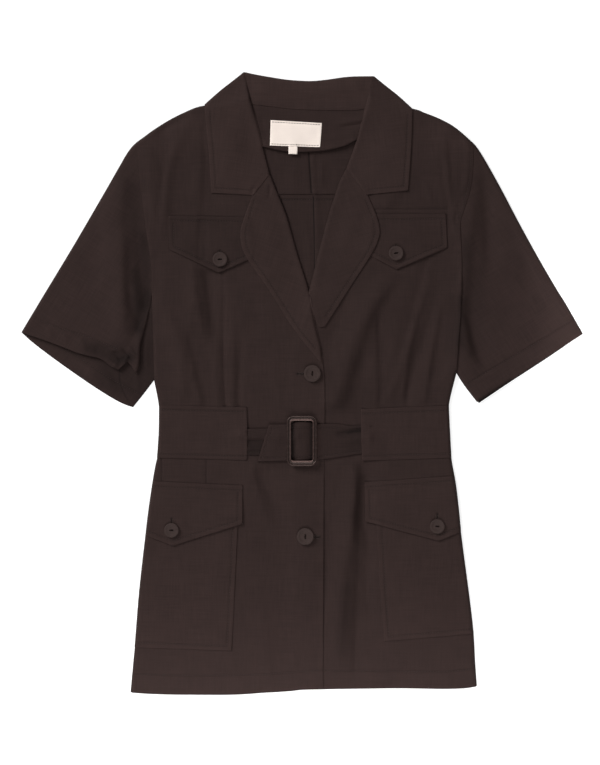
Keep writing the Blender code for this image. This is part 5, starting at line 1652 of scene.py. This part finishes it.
def on_rim(edge):
    """An edge of the outer or the inner circle of the rim."""
    ends = [vertex.co for vertex in edge.verts]
    round_edge = abs(ends[0].xy.length - ends[1].xy.length) < 0.01
    level = abs(ends[0].z - ends[1].z) < 0.01
    return round_edge and level and ends[0].xy.length > BUTTON_RADIUS - 3.5


pick_edges(turned, on_rim)
bpy.ops.mesh.bevel(offset=RIM_ROUND, segments=3, affect="EDGES")
bpy.ops.object.mode_set(mode="OBJECT")


def cut_out(piece, place, size, depth):
    """Cut an upright oval of this half size out of a piece, with a Boolean modifier."""
    bpy.ops.object.select_all(action="DESELECT")
    bpy.ops.mesh.primitive_cylinder_add(vertices=28, radius=1.0, depth=depth, location=place)
    drill = bpy.context.object
    bpy.ops.object.mode_set(mode="EDIT")
    bpy.ops.mesh.select_all(action="SELECT")
    bpy.ops.transform.resize(value=(*size, 1.0), center_override=place)
    bpy.ops.object.mode_set(mode="OBJECT")
    bpy.ops.object.select_all(action="DESELECT")
    piece.select_set(True)
    bpy.context.view_layer.objects.active = piece
    hole = piece.modifiers.new("hole", "BOOLEAN")
    hole.operation = "DIFFERENCE"
    hole.object = drill
    bpy.ops.object.modifier_apply(modifier="hole")
    bpy.data.objects.remove(drill)


cut_out(turned, (0.0, 0.0, EYE_FLOOR + 2.0), EYE_SIZE, 4.0)
for side in (-0.5, 0.5):
    cut_out(turned, (side * HOLE_SPACING, 0.0, 0.0), (HOLE_RADIUS, HOLE_RADIUS), 4.0 * BUTTON_DEPTH)
print("button faces:", len(turned.data.polygons))

# %% Buttons in place
BUTTON_GAP = 0.35
STRANDS = np.array([(-0.6, -0.5), (0.6, -0.5), (-0.6, 0.0), (0.6, 0.0), (-0.6, 0.5), (0.6, 0.5)])
BUTTONS = (  # node, place in pixels, diameter in mm, turn of the holes in degrees
    ("button_front_upper", (312.3, 373.5), 19.4, 90.0),
    ("button_front_lower", (305.3, 536.0), 19.4, 90.0),
    ("button_chest_left", (220.2, 259.8), 16.8, 0.0),
    ("button_chest_right", (395.8, 253.6), 16.8, 8.0),
    ("button_hip_left", (171.9, 529.7), 16.8, 0.0),
    ("button_hip_right", (436.8, 525.8), 16.8, -4.0),
)


def cloth_under(x, y, radius):
    """Height that a disc of this radius rests at."""
    near = np.hypot(bed_x - x, bed_y - y) < radius
    return np.percentile(laid[near], 85)


for node, pixel, diameter, turn in BUTTONS:
    x, y = seen(pixel)[0]
    scale = diameter / (2.0 * BUTTON_RADIUS)
    seat = cloth_under(x, y, diameter / 2.0) + BUTTON_GAP
    mesh = turned.data.copy()
    corners = np.array([tuple(vertex.co) for vertex in mesh.vertices]) * scale
    angle = math.radians(turn)
    spun_x = corners[:, 0] * math.cos(angle) - corners[:, 1] * math.sin(angle)
    spun_y = corners[:, 0] * math.sin(angle) + corners[:, 1] * math.cos(angle)
    rise = corners[:, 2] + scale * BUTTON_DEPTH / 2.0 + seat
    mesh.vertices.foreach_set("co", (np.column_stack([spun_x + x, spun_y + y, rise]) * MM).ravel())
    mesh.materials.append(button_resin)
    button = bpy.data.objects.new(f"resin_{node}", mesh)
    scene.collection.objects.link(button)
    bpy.ops.object.select_all(action="DESELECT")
    button.select_set(True)
    bpy.context.view_layer.objects.active = button
    bpy.ops.object.shade_smooth_by_angle(angle=math.radians(35.0))
    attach(button, "root")
    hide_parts(node)
    floor = seat + scale * (BUTTON_DEPTH / 2.0 + EYE_FLOOR) + 0.1
    ahead = np.array([[math.cos(angle), math.sin(angle)]] * len(STRANDS))
    across = np.array([-math.sin(angle), math.cos(angle)])
    centre = np.array([x, y]) + STRANDS[:, :1] * ahead + STRANDS[:, 1:] * across
    level = np.full(len(STRANDS), floor)
    strand_points, strand_faces = stitch_copies(np.column_stack([centre, level]), ahead, 0.0 * level)
    tie = piece_from(f"{button.name}_thread", strand_points, strand_faces, thread_cotton)
    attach(tie, "root")
    print(node, "seated at", round(seat, 2), "mm")
bpy.data.objects.remove(turned)

# %% [markdown]
# ## Buttonholes
#
# Beside each button that is done up, a little of its buttonhole shows: a slit with close thread bars on
# both sides. The bars are the same stitch again, side by side.

# %% Buttonholes
# The dark slit beside each button is painted shade on the cloth, a sewn line of its panel.
BUTTONHOLES = (  # name, first and last pixel of the slit
    ("front_upper", (298.4, 373.9), (311.0, 373.8)),
    ("front_lower", (306.0, 536.2), (319.4, 536.8)),
    ("chest_left", (220.2, 251.6), (220.2, 259.0)),
    ("chest_right", (395.6, 245.4), (395.8, 253.0)),
    ("hip_left", (172.0, 518.8), (171.9, 529.0)),
    ("hip_right", (436.9, 514.4), (436.8, 525.0)),
)
BAR_PITCH, BAR_OFFSET, BAR_RISE = 0.62, 1.3, 0.1
for name, first, last in BUTTONHOLES:
    slit = resampled(seen(first, last), BAR_PITCH)
    run = slit[-1] - slit[0]
    run /= np.hypot(*run)
    across = np.array([-run[1], run[0]])
    bars = np.vstack([slit + across * BAR_OFFSET, slit - across * BAR_OFFSET])
    places = np.column_stack([bars, sampled(laid, *bars.T) + BAR_RISE])
    lengthwise = np.repeat([across], len(bars), axis=0)
    bar_points, bar_faces = stitch_copies(places, lengthwise, np.zeros(len(bars)))
    hole_edge = piece_from(f"buttonhole_{name}", bar_points, bar_faces, thread_cotton)
    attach(hole_edge, "root")
print(len(BUTTONHOLES), "buttonholes")

# %% [markdown]
# ## Buckle
#
# The buckle is a rounded oblong frame with a bead along its outer and its inner edge and a shallow
# channel between them. It starts as a plane: its corners are bevelled, insets make the bands, the
# middle is deleted and the rest is extruded. A bar across the middle, on two short posts, holds the
# belt and is hidden by it.

# %% Buckle frame
BUCKLE_MIDDLE = (301.9, 440.7)
BUCKLE_SIZE = (34.2, 57.5)
BUCKLE_CORNER, BUCKLE_DEPTH = 7.6, 2.0
OUTER_BEAD, CHANNEL, INNER_BEAD, INNER_RISE = 1.5, 1.8, 2.3, 0.4
SIDE_TRIM, LOWER_RAIL = 1.07, 0.7
CHANNEL_WALL, CHANNEL_DROP, BEAD_ROUND = 0.2, 0.9, 0.7
BAR_WIDTH, BAR_DEPTH, POST_LENGTH, POST_TOP = 2.2, 1.1, 2.6, 0.8
RAIL_WIDTH, RAIL_REACH = 4.8, 18.0
END_LENGTH, CHANNEL_LEVEL = 7.0, 1.35
# Tones of painted highlight on the beads, brightest along the two ends, and of painted shade in the channel
# and on the low parts.
END_GLINT, END_CHANNEL_SHADE, SIDE_GLINT, OUTER_GLINT, LOW_SHADE = 3.6, -0.4, 1.2, 0.2, 0.95
buckle_x, buckle_y = seen(BUCKLE_MIDDLE)[0]
sideways = BUCKLE_SIZE[0] / 2.0 - np.abs(bed_x - buckle_x)
rail = (sideways > 0.0) & (sideways < RAIL_WIDTH) & (np.abs(bed_y - buckle_y) < RAIL_REACH)
buckle_seat = laid[rail].max() + 0.1


def edge_gap(point):
    """How far a point lies inside the rounded outline of the frame."""
    x = abs(point.x) - BUCKLE_SIZE[0] / 2.0 + BUCKLE_CORNER
    y = abs(point.y) - BUCKLE_SIZE[1] / 2.0 + BUCKLE_CORNER
    reach = math.hypot(x, y) if min(x, y) > 0.0 else max(x, y)
    return BUCKLE_CORNER - reach


def in_lower_rail(face):
    """A face of the channel or of the inner bead, along the lower side."""
    centre = face.calc_center_median()
    return centre.y < -15.0 and edge_gap(centre) > OUTER_BEAD


bpy.ops.object.select_all(action="DESELECT")
bpy.ops.mesh.primitive_plane_add(size=1.0)
buckle = bpy.context.object
buckle.name = "moulded_buckle"
bpy.ops.object.mode_set(mode="EDIT")
bpy.ops.mesh.select_all(action="SELECT")
bpy.ops.transform.resize(value=(*BUCKLE_SIZE, 1.0))
bpy.ops.mesh.bevel(offset=BUCKLE_CORNER, segments=7, affect="VERTICES")
bpy.ops.mesh.select_mode(type="FACE")
bpy.ops.mesh.select_all(action="SELECT")
for width in (OUTER_BEAD, CHANNEL, INNER_BEAD):
    bpy.ops.mesh.inset(thickness=width)
bpy.ops.transform.resize(value=(SIDE_TRIM, 1.0, 1.0))
pick_faces(buckle, in_lower_rail)
bpy.ops.transform.translate(value=(0.0, LOWER_RAIL, 0.0))
pick_faces(buckle, lambda face: face.calc_center_median().length < 3.0)
bpy.ops.mesh.delete(type="FACE")
bpy.ops.mesh.select_all(action="SELECT")
bpy.ops.mesh.extrude_region_move(TRANSFORM_OT_translate={"value": (0.0, 0.0, BUCKLE_DEPTH)})
bpy.ops.mesh.select_all(action="SELECT")
bpy.ops.mesh.normals_make_consistent(inside=False)


def top_band(first, last):
    """A test for the upper faces between these distances from the outer edge."""
    return lambda face: face.normal.z > 0.5 and first < edge_gap(face.calc_center_median()) < last


pick_faces(buckle, top_band(OUTER_BEAD + CHANNEL, 99.0))
bpy.ops.transform.translate(value=(0.0, 0.0, INNER_RISE))
pick_faces(buckle, top_band(OUTER_BEAD, OUTER_BEAD + CHANNEL * 1.05))
bpy.ops.mesh.inset(thickness=CHANNEL_WALL)
bpy.ops.transform.translate(value=(0.0, 0.0, -CHANNEL_DROP))
bpy.ops.mesh.select_mode(type="EDGE")


def on_bead(edge):
    """A sharp edge along the top of either bead."""
    level = min(vertex.co.z for vertex in edge.verts) > BUCKLE_DEPTH - 0.01
    return level and edge.calc_face_angle(0.0) > math.radians(40.0)


pick_edges(buckle, on_bead)
bpy.ops.mesh.bevel(offset=BEAD_ROUND, segments=5, affect="EDGES")
bar_rise = sampled(belt_over.rest, np.array([buckle_x]), np.array([buckle_y]))[0] + 0.5 - buckle_seat
post_height = BAR_DEPTH / 2.0 + POST_TOP - bar_rise
post_rise = POST_TOP - post_height / 2.0
post_place = BUCKLE_SIZE[1] / 2.0 - POST_LENGTH
for place, size in (
    ((0.0, 0.0, bar_rise), (BAR_WIDTH, 2.0 * post_place, BAR_DEPTH)),
    ((0.0, post_place, post_rise), (BAR_WIDTH, POST_LENGTH, post_height)),
    ((0.0, -post_place, post_rise), (BAR_WIDTH, POST_LENGTH, post_height)),
):
    bpy.ops.mesh.select_all(action="DESELECT")
    bpy.ops.mesh.primitive_cube_add(size=1.0, location=place)
    bpy.ops.transform.resize(value=size, center_override=place)
    bpy.ops.mesh.bevel(offset=0.4, segments=3, affect="EDGES")
bpy.ops.object.mode_set(mode="OBJECT")
points = np.array([tuple(vertex.co) for vertex in buckle.data.vertices])
gaps = np.array([edge_gap(vertex.co) for vertex in buckle.data.vertices])
# Painted highlight on the tops of the beads, and painted shade in the channel and on the bar, posts and
# underside.
ends = np.abs(points[:, 1]) > BUCKLE_SIZE[1] / 2.0 - END_LENGTH
gaps = gaps - LOWER_RAIL * ((points[:, 1] < 0.0) & ends & (gaps > OUTER_BEAD + 0.5))
end_glint_and_shade = np.where(gaps > OUTER_BEAD + CHANNEL + 0.4, END_GLINT, END_CHANNEL_SHADE)
glint_and_shade = np.where(gaps > OUTER_BEAD + 0.7 * CHANNEL, np.where(ends, end_glint_and_shade, SIDE_GLINT), OUTER_GLINT)
glint_and_shade = glint_and_shade * (points[:, 2] > BUCKLE_DEPTH - 0.45) - LOW_SHADE * (points[:, 2] < CHANNEL_LEVEL)
buckle_glint_and_shade = buckle.data.attributes.new("painted_glint_and_shade", "FLOAT", "POINT")
buckle_glint_and_shade.data.foreach_set("value", glint_and_shade)
bpy.ops.object.mode_set(mode="EDIT")
bpy.ops.mesh.select_all(action="SELECT")
bpy.ops.transform.translate(value=(buckle_x, buckle_y, buckle_seat))
bpy.ops.transform.resize(value=(MM, MM, MM), center_override=(0.0, 0.0, 0.0))
bpy.ops.object.mode_set(mode="OBJECT")
bpy.ops.object.shade_smooth_by_angle(angle=math.radians(50.0))
buckle.data.materials.append(buckle_resin)
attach(buckle, "root")
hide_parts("buckle")
print("buckle seated at", round(buckle_seat, 2), "mm,", len(buckle.data.polygons), "faces")

# %% [markdown]
# ## Close the lesson
#
# The sizes of the visual model are printed beside those of the CAD model's box, and the number
# of triangles. The visual model has to stay inside the CAD model's box, apart from a little
# cloth.

# %% Sizes and finish
seen_low, seen_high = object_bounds()
for axis, *sides in zip("xyz", cad_low, seen_low, cad_high, seen_high):
    print(axis, [round(side * 1000.0, 1) for side in sides])
triangles = 0
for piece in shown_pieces():
    triangles += sum(len(polygon.vertices) - 2 for polygon in piece.data.polygons)
print("triangles in all:", triangles)
